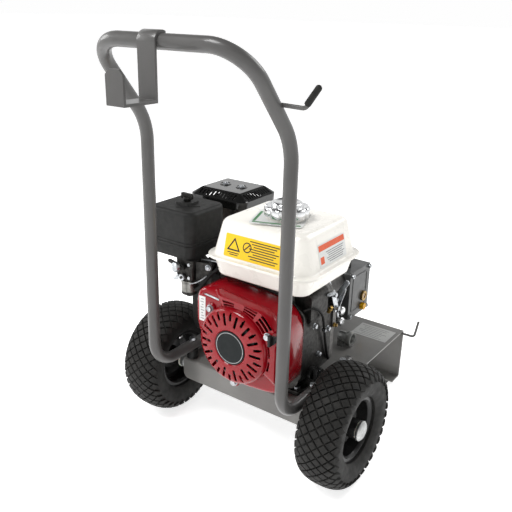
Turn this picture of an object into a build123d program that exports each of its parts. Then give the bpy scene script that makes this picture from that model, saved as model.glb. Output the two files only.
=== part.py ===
import os
from math import atan2, cos, degrees, radians, sin

from build123d import *

# Pressure washer: a petrol engine and a direct-drive plunger pump on a two-wheeled hand cart.
# Millimetres. X runs to the operator's right, Y away from the operator, Z up, ground at Z = 0.
# Everything is drawn with the wheel axle at Y = 0, then moved so that the origin is the centre
# of the bounding box at ground level.

# Cart tube
TUBE_R, TUBE_BORE_R = 10.65, 8.05
HANDLE_X = 138.0
UPRIGHT_Y = -111.3
RAIL_Z, RAIL_FRONT = 155.0, 125.0
LEAN_Z = 606.0
BAR_X, BAR_Y, BAR_Z = 134.0, -220.0, 735.0
LOWER_BEND, KNEE_BEND, CORNER_BEND = 50.0, 90.0, 58.0

# Tray, folded from 3 mm sheet
SHEET = 3.0
TRAY_HALF = 151.0
TRAY_REAR, TRAY_FRONT, TRAY_TOP = -19.0, 363.0, 128.0
SKIRT_BOTTOM = 83.0
FOOT_Z, FOOT_DEPTH = 12.0, 35.0
FOLD_R, SKIRT_CORNER = 1.5, 12.0
AXLE_PLATE_X, AXLE_PLATE_END, AXLE_PLATE_HALF, AXLE_PLATE_DROP = 128.0, 32.0, 2.0, 16.0
PAD_X, PAD_HALF = 115.0, 20.0
MOUNT_R = 11.0
MOUNT_Y = (-7.0, 100.0)
BOLT_R, BOLT_HOLE_R, HEAD_R, HEAD_H, NUT_H = 4.0, 4.3, 6.5, 5.0, 4.0

# Wheels
TYRE_R, TYRE_HALF, RIM_R = 110.0, 40.0, 59.4
WHEEL_X = 197.5
AXLE_R, AXLE_HALF = 10.0, 232.0
HUB_HALF, HUB_R, BUSH_R, RUN = 29.0, 17.0, 13.0, 0.06
RIM_HOLE_R, RIM_HOLE_RING, SIDE_PLAY = 4.0, 38.0, 2.3

# Lance cradle and hooks
CRADLE_X, STRAP_W, STRAP_T = -13.0, 32.0, 4.0
CRADLE_DROP, CRADLE_SHELF, CRADLE_LIP = 662.0, -288.0, 704.0
HOOK_R, HOOK_Y = 3.0, -150.0
HOOK_TIP = (199.0, 688.0)
LOWER_HOOK_R, LOWER_HOOK_X, LOWER_HOOK_RISE = 2.5, (118.0, 178.0, 184.0), 38.0

# Engine: shaft axis at (ENGINE_X, SHAFT_Z), mounting face on the tray
ENGINE_X = 15.0
SHAFT_Z = TRAY_TOP + 106.0
BOLT_X, BOLT_Y = 81.0, (10.0, 86.0)
SHROUD_FRONT, SHROUD_BACK, SKIN = -64.0, 0.0, 2.0
DOME_R, DOME_FRONT, BADGE_R = 70.5, -84.0, 32.8
SHROUD_SIDES, SHROUD_TOPS, SHROUD_KINKS = (-80.0, 108.0), (324.0, 312.0), (286.0, 236.0, 200.0)
SHROUD_FOOT, SHROUD_CORNER, SCROLL_R, EYE_R = 150.0, 16.0, 80.0, 60.0
CASE_LEFT, CASE_RIGHT, CASE_TOP, CASE_CORNER = ENGINE_X - 68.0, ENGINE_X + 88.0, SHAFT_Z + 60.0, 26.0
DECK = TRAY_TOP + 8.0
BLOCK_BACK, PTO_FACE, SHAFT_END = 110.0, 165.0, 231.0
FLANGE_R, COVER_THICK = 66.0, 12.0
SHAFT_R = 10.0
BEARING_R = 26.0
CYLINDER_TILT, CYLINDER_Y = -65.0, 54.0
BARREL_W, BARREL_TOP, BORE_R = 84.0, 112.0, 34.0
FIN_W, FIN_D, FIN_T, FIN_PITCH = 104.0, 98.0, 2.6, 8.0
PLUG_X, PLUG_Z = -42.0, 129.0
FLYWHEEL_R, CUP_R = 68.0, 28.0
INTAKE = (-132.0, -20.0)
CHOKE_Z, TAP_Z, PIN_R = 332.0, 312.0, 2.8
LEVER_X, THROTTLE_Z, GOVERNOR_Z = 98.0, 272.0, 238.0
SWITCH = (92.0, 270.0)
GRIP, PULL = (117.0, -81.0, 303.0), (0.77, 0.0, 0.64)

# Fuel tank
TANK_X, TANK_Y, TANK_W, TANK_D = 32.0, 49.0, 220.0, 202.0
TANK_BOTTOM, TANK_SEAM, TANK_TOP = 336.0, 373.0, 441.0
SEAM_LIP, LIP_T, TANK_WALL, TANK_CORNER, LIP_CORNER = 9.0, 2.5, 2.0, 26.0, 34.0
UPPER_TAPER, LOWER_TAPER, SHOULDER_R = 13.0, 14.0, 16.0
CAP_X, CAP_Y, CAP_R, NECK_R = 42.0, 36.0, 40.0, 30.0

# Air cleaner and silencer
AIR_X, AIR_Y, AIR_W, AIR_D = -162.5, 11.5, 105.0, 103.0
AIR_BOTTOM, AIR_SEAM, AIR_TOP, AIR_WALL, STUD_R = 345.0, 371.0, 435.0, 3.0, 4.0
MUFFLER_X, MUFFLER_Y, MUFFLER_W, MUFFLER_D = -157.5, 147.0, 101.0, 92.0
MUFFLER_BOTTOM, MUFFLER_TOP = 352.0, 418.0
PORT_X, PORT_Z, PORT_R, TAIL_R = -112.0, 300.0, 15.0, 9.0
SHIELD_W, SHIELD_D = 135.0, 124.0
SHIELD_BOTTOM, SHIELD_RIDGE, SHIELD_TOP, SHIELD_SLOPE, SHIELD_SHEET = 415.0, 430.0, 443.0, 58.8, 2.0

# Pump
PUMP_LEFT, PUMP_RIGHT, PUMP_REAR, PUMP_FRONT = -40.0, 58.0, 260.0, 351.0
PUMP_BOTTOM, PUMP_TOP = 163.0, 270.0
PUMP_SHAFT_R, ECCENTRIC_R, ECCENTRIC_LIFT = 18.0, 22.0, 5.0
BELL_R, COVER_T, PUMP_WALL = 42.0, 5.0, 8.0
MANIFOLD_W, MANIFOLD_LOW, MANIFOLD_TOP = 62.0, 196.0, 262.0
VALVE_PITCH, VALVE_HEX_R, VALVE_CAP_H = 26.0, 11.0, 8.0
OIL_PORT = (34.0, 292.0)
SIGHT, DRAIN = (324.0, 200.0), (322.0, 176.0)
UNLOADER, UNLOADER_TOP = (-88.5, 312.0), 300.0
INLET_Y, OUTLET_Y, OUTLET_Z = 224.0, 212.0, (184.0, 208.0)

CENTRE_Y = (TRAY_FRONT + CRADLE_SHELF - STRAP_T) / 2


def box(x0, x1, y0, y1, z0, z1):
    return Pos((x0 + x1) / 2, (y0 + y1) / 2, (z0 + z1) / 2) * Box(x1 - x0, y1 - y0, z1 - z0)


def rod_x(radius, x0, x1, y, z):
    return Pos((x0 + x1) / 2, y, z) * Rot(0, 90, 0) * Cylinder(radius, abs(x1 - x0))


def rod_y(radius, y0, y1, x, z):
    return Pos(x, (y0 + y1) / 2, z) * Rot(90, 0, 0) * Cylinder(radius, abs(y1 - y0))


def rod_z(radius, z0, z1, x, y):
    return Pos(x, y, (z0 + z1) / 2) * Cylinder(radius, abs(z1 - z0))


def hex_z(radius, z0, z1, x, y):
    return Pos(x, y, z0) * extrude(RegularPolygon(radius, 6), z1 - z0)


def group(pieces):
    """Identical or like fasteners kept as separate solids in one node."""
    return Compound([solid for piece in pieces for solid in piece.solids()])


def bent_bar(points, radii, section):
    """A bar or tube along straight runs joined by tangent arcs."""
    path = FilletPolyline(*points, radius=radii)
    return sweep(Plane(origin=path @ 0, z_dir=path % 0) * section, path)


def spun_x(points, x, side, z):
    """A turned piece about the X axis; points are (distance outward from x, radius)."""
    face = make_face(Polyline(*[(side * along, radius) for along, radius in points], close=True))
    return Pos(x, 0, z) * revolve(face, Axis.X)


def rounded_block(x, y, width, depth, z0, z1, radius, taper=0):
    """An upright block with rounded corners, drawn in by the taper towards z1."""
    return Pos(x, y, z0) * extrude(RectangleRounded(width, depth, radius), z1 - z0, taper=taper)


# ---- cart ----

def handle_frame():
    half = [(HANDLE_X, RAIL_FRONT, RAIL_Z), (HANDLE_X, UPRIGHT_Y, RAIL_Z),
            (HANDLE_X, UPRIGHT_Y, LEAN_Z), (BAR_X, BAR_Y, BAR_Z)]
    points = half + [(-x, y, z) for x, y, z in reversed(half)]
    radii = [LOWER_BEND, KNEE_BEND, CORNER_BEND, CORNER_BEND, KNEE_BEND, LOWER_BEND]
    tube = bent_bar(points, radii, Circle(TUBE_R) - Circle(TUBE_BORE_R))
    for x in (-HANDLE_X, HANDLE_X):
        for y in MOUNT_Y:
            tube -= rod_z(BOLT_HOLE_R, RAIL_Z - 20, RAIL_Z + 20, x, y)
    return tube


def lance_cradle():
    """One strap hooked over the top bar, down, out to the operator and up again."""
    rear, top, half = BAR_Y - TUBE_R, BAR_Z + TUBE_R, STRAP_W / 2
    leg = box(-half, half, rear - STRAP_T, rear, CRADLE_DROP, BAR_Z)
    shelf = box(-half, half, CRADLE_SHELF, rear, CRADLE_DROP - STRAP_T, CRADLE_DROP)
    lip = box(-half, half, CRADLE_SHELF - STRAP_T, CRADLE_SHELF, CRADLE_DROP - STRAP_T, CRADLE_LIP)
    lip = chamfer(lip.edges().filter_by(Axis.Y).group_by(Axis.Z)[-1], 7)
    bend = rod_x(TUBE_R + STRAP_T, -half, half, BAR_Y, BAR_Z)
    bend &= box(-half, half, rear - STRAP_T, BAR_Y + 7, BAR_Z, top + STRAP_T)
    strap = leg + shelf + lip + bend - rod_x(TUBE_R, -half, half, BAR_Y, BAR_Z)
    return Pos(CRADLE_X, 0, 0) * strap


def handle_core():
    """The solid outline of the right leaning leg, which the upper hook is welded to."""
    low = Vector(HANDLE_X, UPRIGHT_Y, LEAN_Z)
    lean = Vector(BAR_X, BAR_Y, BAR_Z) - low
    return extrude(Plane(origin=low, z_dir=lean) * Circle(TUBE_R), lean.length)


def storage_hooks():
    """Two bent rods: one welded to the handle, one under the tray's front corner."""
    tip = (HOOK_TIP[0], HOOK_Y, HOOK_TIP[1])
    upper = bent_bar([(HANDLE_X + 6, HOOK_Y, HOOK_TIP[1] - 26), (180, HOOK_Y, HOOK_TIP[1] - 27), tip],
                     [3 * HOOK_R], Circle(HOOK_R))
    y, z = TRAY_FRONT - SHEET - 5, TRAY_TOP - SHEET - LOWER_HOOK_R
    start, bend, end = LOWER_HOOK_X
    lower = bent_bar([(start, y, z), (bend, y, z), (end, y, z + LOWER_HOOK_RISE)], [8], Circle(LOWER_HOOK_R))
    return group([upper - handle_core(), lower])


def edges_at(sheet, places):
    """The sheet's edges that run along X through any of these (y, z) places."""
    return [e for e in sheet.edges().filter_by(Axis.X)
            if any(abs(e.center().Y - y) < 0.1 and abs(e.center().Z - z) < 0.1 for y, z in places)]


def tray():
    """Folded tray with its front leg, and the two plates that carry the axle welded below."""
    inner, foot_rear = TRAY_TOP - SHEET, TRAY_FRONT - FOOT_DEPTH
    leg_inner, skirt_inner, foot_top = TRAY_FRONT - SHEET, TRAY_REAR + SHEET, FOOT_Z + SHEET
    outline = [(TRAY_REAR, SKIRT_BOTTOM), (TRAY_REAR, TRAY_TOP), (TRAY_FRONT, TRAY_TOP),
               (TRAY_FRONT, FOOT_Z), (foot_rear, FOOT_Z), (foot_rear, foot_top),
               (leg_inner, foot_top), (leg_inner, inner), (skirt_inner, inner), (skirt_inner, SKIRT_BOTTOM)]
    section = make_face(Plane.YZ * Polyline(*outline, close=True))
    sheet = extrude(section, TRAY_HALF, dir=(1, 0, 0), both=True)
    outside = [(TRAY_REAR, TRAY_TOP), (TRAY_FRONT, TRAY_TOP), (TRAY_FRONT, FOOT_Z)]
    inside = [(skirt_inner, inner), (leg_inner, inner), (leg_inner, foot_top)]
    sheet = fillet(edges_at(sheet, outside), SHEET + FOLD_R)
    sheet = fillet(edges_at(sheet, inside), FOLD_R)
    sheet = fillet([e for e in sheet.edges().filter_by(Axis.Y)
                    if abs(e.center().Z - SKIRT_BOTTOM) < 0.1], SKIRT_CORNER)
    bolts = [(x, y) for x in (-HANDLE_X, HANDLE_X) for y in MOUNT_Y]
    bolts += [(x, y) for x in (ENGINE_X - BOLT_X, ENGINE_X + BOLT_X) for y in BOLT_Y]
    for x, y in bolts:
        sheet -= rod_z(BOLT_HOLE_R, inner - 1, TRAY_TOP + 1, x, y)
    for x in (-AXLE_PLATE_X, AXLE_PLATE_X):
        plate = box(x - AXLE_PLATE_HALF, x + AXLE_PLATE_HALF, skirt_inner, AXLE_PLATE_END,
                    TYRE_R - AXLE_PLATE_DROP, inner)
        plate = chamfer(plate.edges().filter_by(Axis.X).group_by(Axis.Z)[0], 8)
        sheet += plate - rod_x(AXLE_R, x - 5, x + 5, 0, TYRE_R)
    return sheet


def foot_pads():
    rear, front = TRAY_FRONT - FOOT_DEPTH, TRAY_FRONT - 1
    pads = [box(x - PAD_HALF, x + PAD_HALF, rear, front, 0, FOOT_Z) for x in (-PAD_X, PAD_X)]
    return group([fillet(pad.edges().filter_by(Axis.Z), 5) for pad in pads])


def rail_mounts():
    """Rubber bobbins between the tray and the tube, hollowed on top to its curve."""
    mounts = []
    for x in (-HANDLE_X, HANDLE_X):
        for y in MOUNT_Y:
            mount = rod_z(MOUNT_R, TRAY_TOP, RAIL_Z - 7, x, y) - rod_z(BOLT_HOLE_R, TRAY_TOP, RAIL_Z, x, y)
            mounts.append(mount - rod_y(TUBE_R, y - 20, y + 20, x, RAIL_Z))
    return group(mounts)


def through_bolt(x, y, top, under):
    """A hexagon bolt with its nut: head from top upwards, nut from under downwards."""
    return (rod_z(BOLT_R, under - NUT_H - 0.5, top + 2, x, y) + hex_z(HEAD_R, top, top + HEAD_H, x, y)
            + hex_z(HEAD_R, under - NUT_H, under, x, y))


def rail_bolts():
    return group([through_bolt(x, y, RAIL_Z + TUBE_R, TRAY_TOP - SHEET)
                  for x in (-HANDLE_X, HANDLE_X) for y in MOUNT_Y])


def axle():
    return rod_x(AXLE_R, -AXLE_HALF, AXLE_HALF, 0, TYRE_R)


def wheel_retainers():
    """Collars inside the wheels and zinc caps pressed over the axle ends outside them."""
    inner, outer = WHEEL_X - HUB_HALF - SIDE_PLAY, WHEEL_X + HUB_HALF + SIDE_PLAY
    end = AXLE_HALF - outer
    collar = [(-8, AXLE_R), (-8, 15), (0, 15), (0, AXLE_R)]
    cap = [(0, AXLE_R), (0, 18), (4, 18), (7, 14.5), (8.3, 9), (8.8, 0), (end, 0), (end, AXLE_R)]
    return group([spun_x(profile, side * x, side, TYRE_R)
                  for side in (-1, 1) for profile, x in ((collar, inner), (cap, outer))])


def tyre(side):
    outer = [(24.3, 56), (24.3, 60.5), (31, 63), (38, 74), (TYRE_HALF, 86), (37, 98), (28, 106), (12, 109.5)]
    inner = [(19, 56), (26, 65), (32, 75), (33.5, 86), (31, 94), (24, 100)]
    profile = [(-x, r) for x, r in outer] + [(0, TYRE_R)] + outer[::-1]
    profile += inner + [(0, 103)] + [(-x, r) for x, r in inner[::-1]]
    return spun_x(profile, side * WHEEL_X, side, TYRE_R)


def rim(side):
    """Pressed wheel centre: well, two flanges, a dished disc and the hub tube."""
    well = [(-27, RIM_R), (-27, 53), (-22, 49), (22, 49), (27, 53), (27, RIM_R), (24.3, RIM_R),
            (24.3, 55), (19, 51.5), (-19, 51.5), (-24.3, 55), (-24.3, RIM_R)]
    disc = [(-2, 49), (-2, 40), (6, 30), (6, HUB_R), (9, HUB_R), (9, 31), (1, 41), (1, 49)]
    hub = [(-HUB_HALF, BUSH_R), (-HUB_HALF, HUB_R), (HUB_HALF, HUB_R), (HUB_HALF, BUSH_R)]
    x = side * WHEEL_X
    wheel = sum([spun_x(part, x, side, TYRE_R) for part in (disc, hub)], spun_x(well, x, side, TYRE_R))
    for turn in range(4):
        angle = radians(45 + 90 * turn)
        y, z = RIM_HOLE_RING * cos(angle), TYRE_R + RIM_HOLE_RING * sin(angle)
        wheel -= rod_x(RIM_HOLE_R, x - 20, x + 20, y, z)
    return wheel


def wheel_bushes(side):
    """Two flanged nylon bushes pressed into the ends of the hub tube."""
    bore = AXLE_R + RUN
    near = [(HUB_HALF - 20, bore), (HUB_HALF - 20, BUSH_R), (HUB_HALF, BUSH_R), (HUB_HALF, HUB_R - 1),
            (HUB_HALF + 2, HUB_R - 1), (HUB_HALF + 2, bore)]
    far = [(-along, radius) for along, radius in near]
    return group([spun_x(half, side * WHEEL_X, side, TYRE_R) for half in (near, far)])


# ---- engine ----

def cylinder_frame():
    return Pos(ENGINE_X, CYLINDER_Y, SHAFT_Z) * Rot(0, CYLINDER_TILT, 0)


def engine_block():
    """Crankcase casting with the finned barrel leaning 65 degrees to the left."""
    base = box(ENGINE_X - 92, ENGINE_X + 92, -1, 98, TRAY_TOP, DECK)
    base = fillet(base.edges().filter_by(Axis.Z), 10) + shroud_solid(0, SHROUD_BACK, SHROUD_BACK + 4)
    case = box(CASE_LEFT, CASE_RIGHT, SHROUD_BACK, BLOCK_BACK, DECK, CASE_TOP)
    case = fillet(case.edges().filter_by(Axis.Y), CASE_CORNER)
    boss = box(ENGINE_X + 60, ENGINE_X + 95, 20, 78, SHAFT_Z + 30, SHAFT_Z + 84)
    barrel = Box(BARREL_W, BARREL_W, BARREL_TOP, align=(Align.CENTER, Align.CENTER, Align.MIN))
    for fin in range(6):
        barrel += Pos(0, 0, BARREL_TOP - 46 + FIN_PITCH * fin) * Box(FIN_W, FIN_D, FIN_T)
    block = base + case + fillet(boss.edges().filter_by(Axis.Y), 9) + cylinder_frame() * barrel
    for x, y, low in ((-30, 20, 60), (88, 30, 84), (-30, 96, 60), (88, 60, 84)):
        block += box(x - 9, x + 9, y - 6, y + 6, SHAFT_Z + low - 2, TANK_BOTTOM)
    block -= box(CASE_LEFT + 10, CASE_RIGHT - 10, 10, BLOCK_BACK, DECK + 8, CASE_TOP - 10)
    block -= cylinder_frame() * Pos(0, 0, 70) * Cylinder(BORE_R, 140)
    block -= rod_y(BEARING_R, 0, 20, ENGINE_X, SHAFT_Z)
    for x in (ENGINE_X - BOLT_X, ENGINE_X + BOLT_X):
        for y in BOLT_Y:
            block -= rod_z(BOLT_HOLE_R, TRAY_TOP - 1, TRAY_TOP + 60, x, y)
            block -= rod_z(9, DECK, DECK + 14, x, y)
    block -= rod_x(9, ENGINE_X + 70, ENGINE_X + 100, 40, TRAY_TOP + 30)
    return block


def side_cover():
    """Bolted-on end of the crankcase with the flange that the pump is fixed to."""
    face = BLOCK_BACK + COVER_THICK
    plate = box(CASE_LEFT, CASE_RIGHT, BLOCK_BACK, face, DECK, CASE_TOP)
    plate = fillet(plate.edges().filter_by(Axis.Y), CASE_CORNER)
    plate += rod_y(FLANGE_R - 8, face, PTO_FACE - 10, ENGINE_X, SHAFT_Z)
    plate += rod_y(FLANGE_R, PTO_FACE - 10, PTO_FACE, ENGINE_X, SHAFT_Z)
    plate -= rod_y(FLANGE_R - 18, BLOCK_BACK, PTO_FACE - 22, ENGINE_X, SHAFT_Z)
    plate += box(LEVER_X - 10, LEVER_X + 8, BLOCK_BACK, face, GOVERNOR_Z - 16, THROTTLE_Z + 18)
    for z, length in ((THROTTLE_Z, 9), (GOVERNOR_Z, 15)):
        plate += rod_y(PIN_R, face, face + length, LEVER_X, z)
    return plate - rod_y(BEARING_R, BLOCK_BACK, PTO_FACE, ENGINE_X, SHAFT_Z)


def main_bearings():
    """Plain bearing rings at both ends of the crankshaft."""
    rings = []
    for y0, y1 in ((2, 10), (PTO_FACE - 20, PTO_FACE - 4)):
        rings.append(rod_y(BEARING_R, y0, y1, ENGINE_X, SHAFT_Z)
                     - rod_y(SHAFT_R + RUN, y0, y1, ENGINE_X, SHAFT_Z))
    return group(rings)


def cylinder_head():
    head = Pos(0, 0, BARREL_TOP + 17) * Box(BARREL_W, BARREL_W, 34)
    for fin in range(4):
        head += Pos(0, 0, BARREL_TOP + 4 + FIN_PITCH * fin) * Box(FIN_W, FIN_D, FIN_T)
    return cylinder_frame() * head - plug_line(-30, 12, 7)


def valve_cover():
    cover = Pos(0, 0, BARREL_TOP + 34) * extrude(RectangleRounded(72, 70, 12), 22, taper=6)
    return cylinder_frame() * fillet(cover.faces().sort_by(Axis.Z)[-1].edges(), 4)


def plug_line(start, end, radius):
    """A round piece along the spark plug's slanting axis, between two distances from the head."""
    place = Pos(PLUG_X, 0, PLUG_Z) * Rot(0, -90, 0)
    return cylinder_frame() * place * Pos(0, 0, (start + end) / 2) * Cylinder(radius, end - start)


def spark_plug():
    return plug_line(-22, 12, 7) + plug_line(12, 18, 10) + plug_line(18, 32, 5)


def plug_cap():
    return plug_line(19, 46, 10.5) - plug_line(18, 32, 5)


def crankshaft():
    shaft = rod_y(SHAFT_R, -60, SHAFT_END, ENGINE_X, SHAFT_Z)
    for y in (34, 64):
        shaft += rod_y(38, y, y + 10, ENGINE_X, SHAFT_Z)
    return shaft + rod_y(13, 44, 64, ENGINE_X, SHAFT_Z + 22)


def flywheel():
    """Flywheel with its cooling fan on the front face and the starter cup in the middle."""
    wheel = rod_y(FLYWHEEL_R, -33, -10, ENGINE_X, SHAFT_Z)
    wheel -= rod_y(FLYWHEEL_R - 10, -20, -9, ENGINE_X, SHAFT_Z)
    wheel += rod_y(22, -20, -6, ENGINE_X, SHAFT_Z)
    for blade in range(18):
        vane = Pos(49, 0, 8) * Rot(0, 0, 35) * Box(28, 2, 18)
        wheel += Pos(ENGINE_X, -33, SHAFT_Z) * Rot(90, 0, 0) * Rot(0, 0, 20 * blade) * vane
    wheel += rod_y(CUP_R, -60, -33, ENGINE_X, SHAFT_Z) - rod_y(CUP_R - 2.5, -61, -36, ENGINE_X, SHAFT_Z)
    wheel += rod_y(14, -57, -33, ENGINE_X, SHAFT_Z)
    return wheel - rod_y(SHAFT_R, -61, -5, ENGINE_X, SHAFT_Z)


def shroud_outline(inset):
    (left, right), (top_left, top_right), (ear, jaw, chin) = SHROUD_SIDES, SHROUD_TOPS, SHROUD_KINKS
    points = [(ENGINE_X - 62, chin), (left, jaw), (left, top_left), (right - 28, top_right),
              (right, ear), (right, SHROUD_FOOT + 8), (ENGINE_X, SHROUD_FOOT)]
    face = make_face(Polyline(*points, close=True))
    face = fillet(face.vertices(), SHROUD_CORNER)
    face += Pos(ENGINE_X, SHAFT_Z) * Circle(SCROLL_R)
    return offset(face, -inset) if inset else face


def shroud_solid(inset, y0, y1):
    """The shroud's outline, drawn as X and Z, between two Y planes."""
    return Pos(0, y1, 0) * Rot(90, 0, 0) * extrude(shroud_outline(inset), y1 - y0)


def fan_shroud():
    shell = shroud_solid(0, SHROUD_FRONT, SHROUD_BACK)
    shell -= shroud_solid(SKIN, SHROUD_FRONT + SKIN, SHROUD_BACK)
    shell -= rod_y(EYE_R, SHROUD_FRONT - 1, SHROUD_FRONT + 5, ENGINE_X, SHAFT_Z)
    for row, (x, z) in enumerate(((40, 303), (52, 297), (66, 291))):
        shell -= Pos(x, SHROUD_FRONT, z - 8) * Rot(0, 38, 0) * Box(5, 8, 22 + 4 * row)
    return shell - Pos(-52, SHROUD_FRONT, 314) * Box(26, 8, 5)


def recoil_cover():
    """Dished starter cover with a ring of radial slots and three fixing ears."""
    plate = make_face(Polyline((0, -88), (BADGE_R + 2, -88), (60, -87), (DOME_R, DOME_FRONT + 4),
                               (DOME_R + 2, SHROUD_FRONT), (DOME_R - 1, SHROUD_FRONT),
                               (DOME_R - 3, DOME_FRONT + 5), (59, -84.5), (0, -85.5), close=True))
    dome = Pos(ENGINE_X, 0, SHAFT_Z) * revolve(plate, Axis.Y)
    for slot in range(28):
        cutter = Pos(51, 0, 0) * Box(24, 5.2, 12)
        dome -= Pos(ENGINE_X, -86, SHAFT_Z) * Rot(90, 0, 0) * Rot(0, 0, 360 / 28 * slot) * cutter
    dome += rod_y(9, -86, SHROUD_FRONT + 2, ENGINE_X, SHAFT_Z)
    for angle in (38, 158, 278):
        x, z = ENGINE_X + 78 * cos(radians(angle)), SHAFT_Z + 78 * sin(radians(angle))
        ear = rod_y(9, SHROUD_FRONT - 5, SHROUD_FRONT, x, z)
        dome += ear - rod_y(DOME_R, -90, SHROUD_FRONT + 2, ENGINE_X, SHAFT_Z)
    return dome


def starter_reel():
    """Rope pulley that turns on the stub inside the recoil cover."""
    face = make_face(Polyline((9 + RUN, -82), (52, -82), (52, -79), (43, -78), (43, -70), (52, -69),
                              (52, -66), (9 + RUN, -66), close=True))
    return Pos(ENGINE_X, 0, SHAFT_Z) * revolve(face, Axis.Y)


def starter_grip():
    """T-handle on the pull rope, parked at the shroud's upper right corner."""
    x, y, z = GRIP
    bar = fillet((Pos(x, y, z) * Box(17, 17, 58)).edges(), 5)
    along = Rot(0, degrees(atan2(PULL[0], PULL[2])), 0)
    return bar - Pos(x, y, z) * along * Cylinder(2.2, 40)


def engine_switch():
    knob = rod_y(9, -77, -65, *SWITCH) + Pos(SWITCH[0], -80, SWITCH[1]) * Box(5, 8, 19)
    return fillet(knob.edges().group_by(Axis.Y)[0], 1.2)


def tank_upper():
    wide, deep, twice = TANK_W - 2 * SEAM_LIP, TANK_D - 2 * SEAM_LIP, 2 * TANK_WALL
    shell = rounded_block(TANK_X, TANK_Y, wide, deep, TANK_SEAM, TANK_TOP, TANK_CORNER, UPPER_TAPER)
    shell = fillet(shell.faces().sort_by(Axis.Z)[-1].edges(), SHOULDER_R)
    rim = rounded_block(TANK_X, TANK_Y, TANK_W, TANK_D, TANK_SEAM, TANK_SEAM + LIP_T, LIP_CORNER)
    hollow = rounded_block(TANK_X, TANK_Y, wide - twice, deep - twice, TANK_SEAM, TANK_TOP - TANK_WALL,
                           TANK_CORNER - TANK_WALL, UPPER_TAPER)
    hollow = fillet(hollow.faces().sort_by(Axis.Z)[-1].edges(), SHOULDER_R - 1)
    neck = rod_z(NECK_R, TANK_TOP - 4, TANK_TOP + 12, CAP_X, CAP_Y)
    bore = rod_z(NECK_R - TANK_WALL, TANK_TOP - 10, TANK_TOP + 13, CAP_X, CAP_Y)
    return shell + rim + neck - hollow - bore


def tank_lower():
    """Lower half, tapering towards its bottom, which stands on the block's four pillars."""
    turned = Pos(TANK_X, TANK_Y, TANK_SEAM) * Rot(180, 0, 0)
    wide, deep, height = TANK_W - 2 * SEAM_LIP, TANK_D - 2 * SEAM_LIP, TANK_SEAM - TANK_BOTTOM
    shell = turned * extrude(RectangleRounded(wide, deep, TANK_CORNER), height, taper=LOWER_TAPER)
    inside = RectangleRounded(wide - 2 * TANK_WALL, deep - 2 * TANK_WALL, TANK_CORNER - TANK_WALL)
    hollow = turned * extrude(inside, height - TANK_WALL, taper=LOWER_TAPER)
    rim = rounded_block(TANK_X, TANK_Y, TANK_W, TANK_D, TANK_SEAM - LIP_T, TANK_SEAM, LIP_CORNER)
    return shell + rim - hollow


def fuel_cap():
    z = TANK_TOP + 8
    cap = rod_z(CAP_R, z, z + 17, CAP_X, CAP_Y)
    cap = fillet(cap.edges().group_by(Axis.Z)[-1], 5)
    cap += rod_z(CAP_R - 13, z + 17, z + 24, CAP_X, CAP_Y)
    for lug in range(10):
        cap -= Pos(CAP_X, CAP_Y, z + 9) * Rot(0, 0, 36 * lug) * Pos(CAP_R + 1.5, 0, 0) * Cylinder(4, 20)
    return cap - rod_z(NECK_R + 0.4, z - 1, z + 8, CAP_X, CAP_Y)


def fuel_cap_gasket():
    z = TANK_TOP + 12
    return (rod_z(NECK_R - 0.4, z + 0.3, z + 4, CAP_X, CAP_Y) - rod_z(NECK_R - 8, z, z + 5, CAP_X, CAP_Y))


def air_cleaner_base():
    """Pan with a turned-out rim, an intake hole and the stud that everything is nutted to."""
    pan_w, pan_d = AIR_W - 8, AIR_D - 8
    base = rounded_block(AIR_X, AIR_Y, pan_w, pan_d, AIR_BOTTOM, AIR_SEAM, 16)
    base += rounded_block(AIR_X, AIR_Y, AIR_W, AIR_D, AIR_SEAM - 4, AIR_SEAM, 18)
    base -= rounded_block(AIR_X, AIR_Y, pan_w - 2 * AIR_WALL, pan_d - 2 * AIR_WALL,
                          AIR_BOTTOM + AIR_WALL, AIR_SEAM, 13)
    base += rod_z(STUD_R, AIR_BOTTOM, AIR_TOP - 8, AIR_X, AIR_Y)
    return base - rod_z(11, AIR_BOTTOM - 1, AIR_BOTTOM + AIR_WALL + 1, *INTAKE)


def air_cleaner_cover():
    cover = rounded_block(AIR_X, AIR_Y, AIR_W, AIR_D, AIR_SEAM, AIR_TOP, 18)
    cover = fillet(cover.faces().sort_by(Axis.Z)[-1].edges(), 7)
    cover -= rounded_block(AIR_X, AIR_Y, AIR_W - 2 * AIR_WALL, AIR_D - 2 * AIR_WALL,
                           AIR_SEAM, AIR_TOP - AIR_WALL, 15)
    cover += rounded_block(AIR_X, AIR_Y, 34, 34, AIR_TOP - 1, AIR_TOP + 5, 5, 12)
    return cover - rod_z(STUD_R + 0.3, AIR_SEAM, AIR_TOP + 8, AIR_X, AIR_Y)


def air_filter():
    """Ring of pleated paper and foam, clear of the stud and the walls."""
    low, high = AIR_SEAM - 20, AIR_TOP - 12
    element = rounded_block(AIR_X, AIR_Y, AIR_W - 24, AIR_D - 24, low, high, 18)
    return element - rounded_block(AIR_X, AIR_Y, AIR_W - 54, AIR_D - 54, low - 1, high + 1, 8)


def air_cleaner_nut():
    z = AIR_TOP + 5.3
    nut = rod_z(7, z, z + 8, AIR_X, AIR_Y) + Pos(AIR_X, AIR_Y, z + 9.5) * Box(26, 5, 11)
    return fillet(nut.edges().filter_by(Axis.Y), 2) - rod_z(STUD_R + 0.3, z - 1, z + 3, AIR_X, AIR_Y)


def carburettor():
    """Zinc casting with its float bowl, between the air cleaner and the head."""
    x, y = INTAKE
    body = box(x - 20, x + 20, y - 16, y + 16, 306, AIR_BOTTOM)
    body = fillet(body.edges().filter_by(Axis.Z), 6)
    body += rod_z(15, 274, 306, x, y) + rod_z(6, 268, 274, x, y)
    body += rod_y(13, y + 16, CYLINDER_Y - 51, x + 4, 318)
    for z in (CHOKE_Z, TAP_Z):
        body += rod_y(PIN_R, y - 25, y - 16, x, z)
    return body - rod_z(9, 325, AIR_BOTTOM + 1, x, y)


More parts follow.
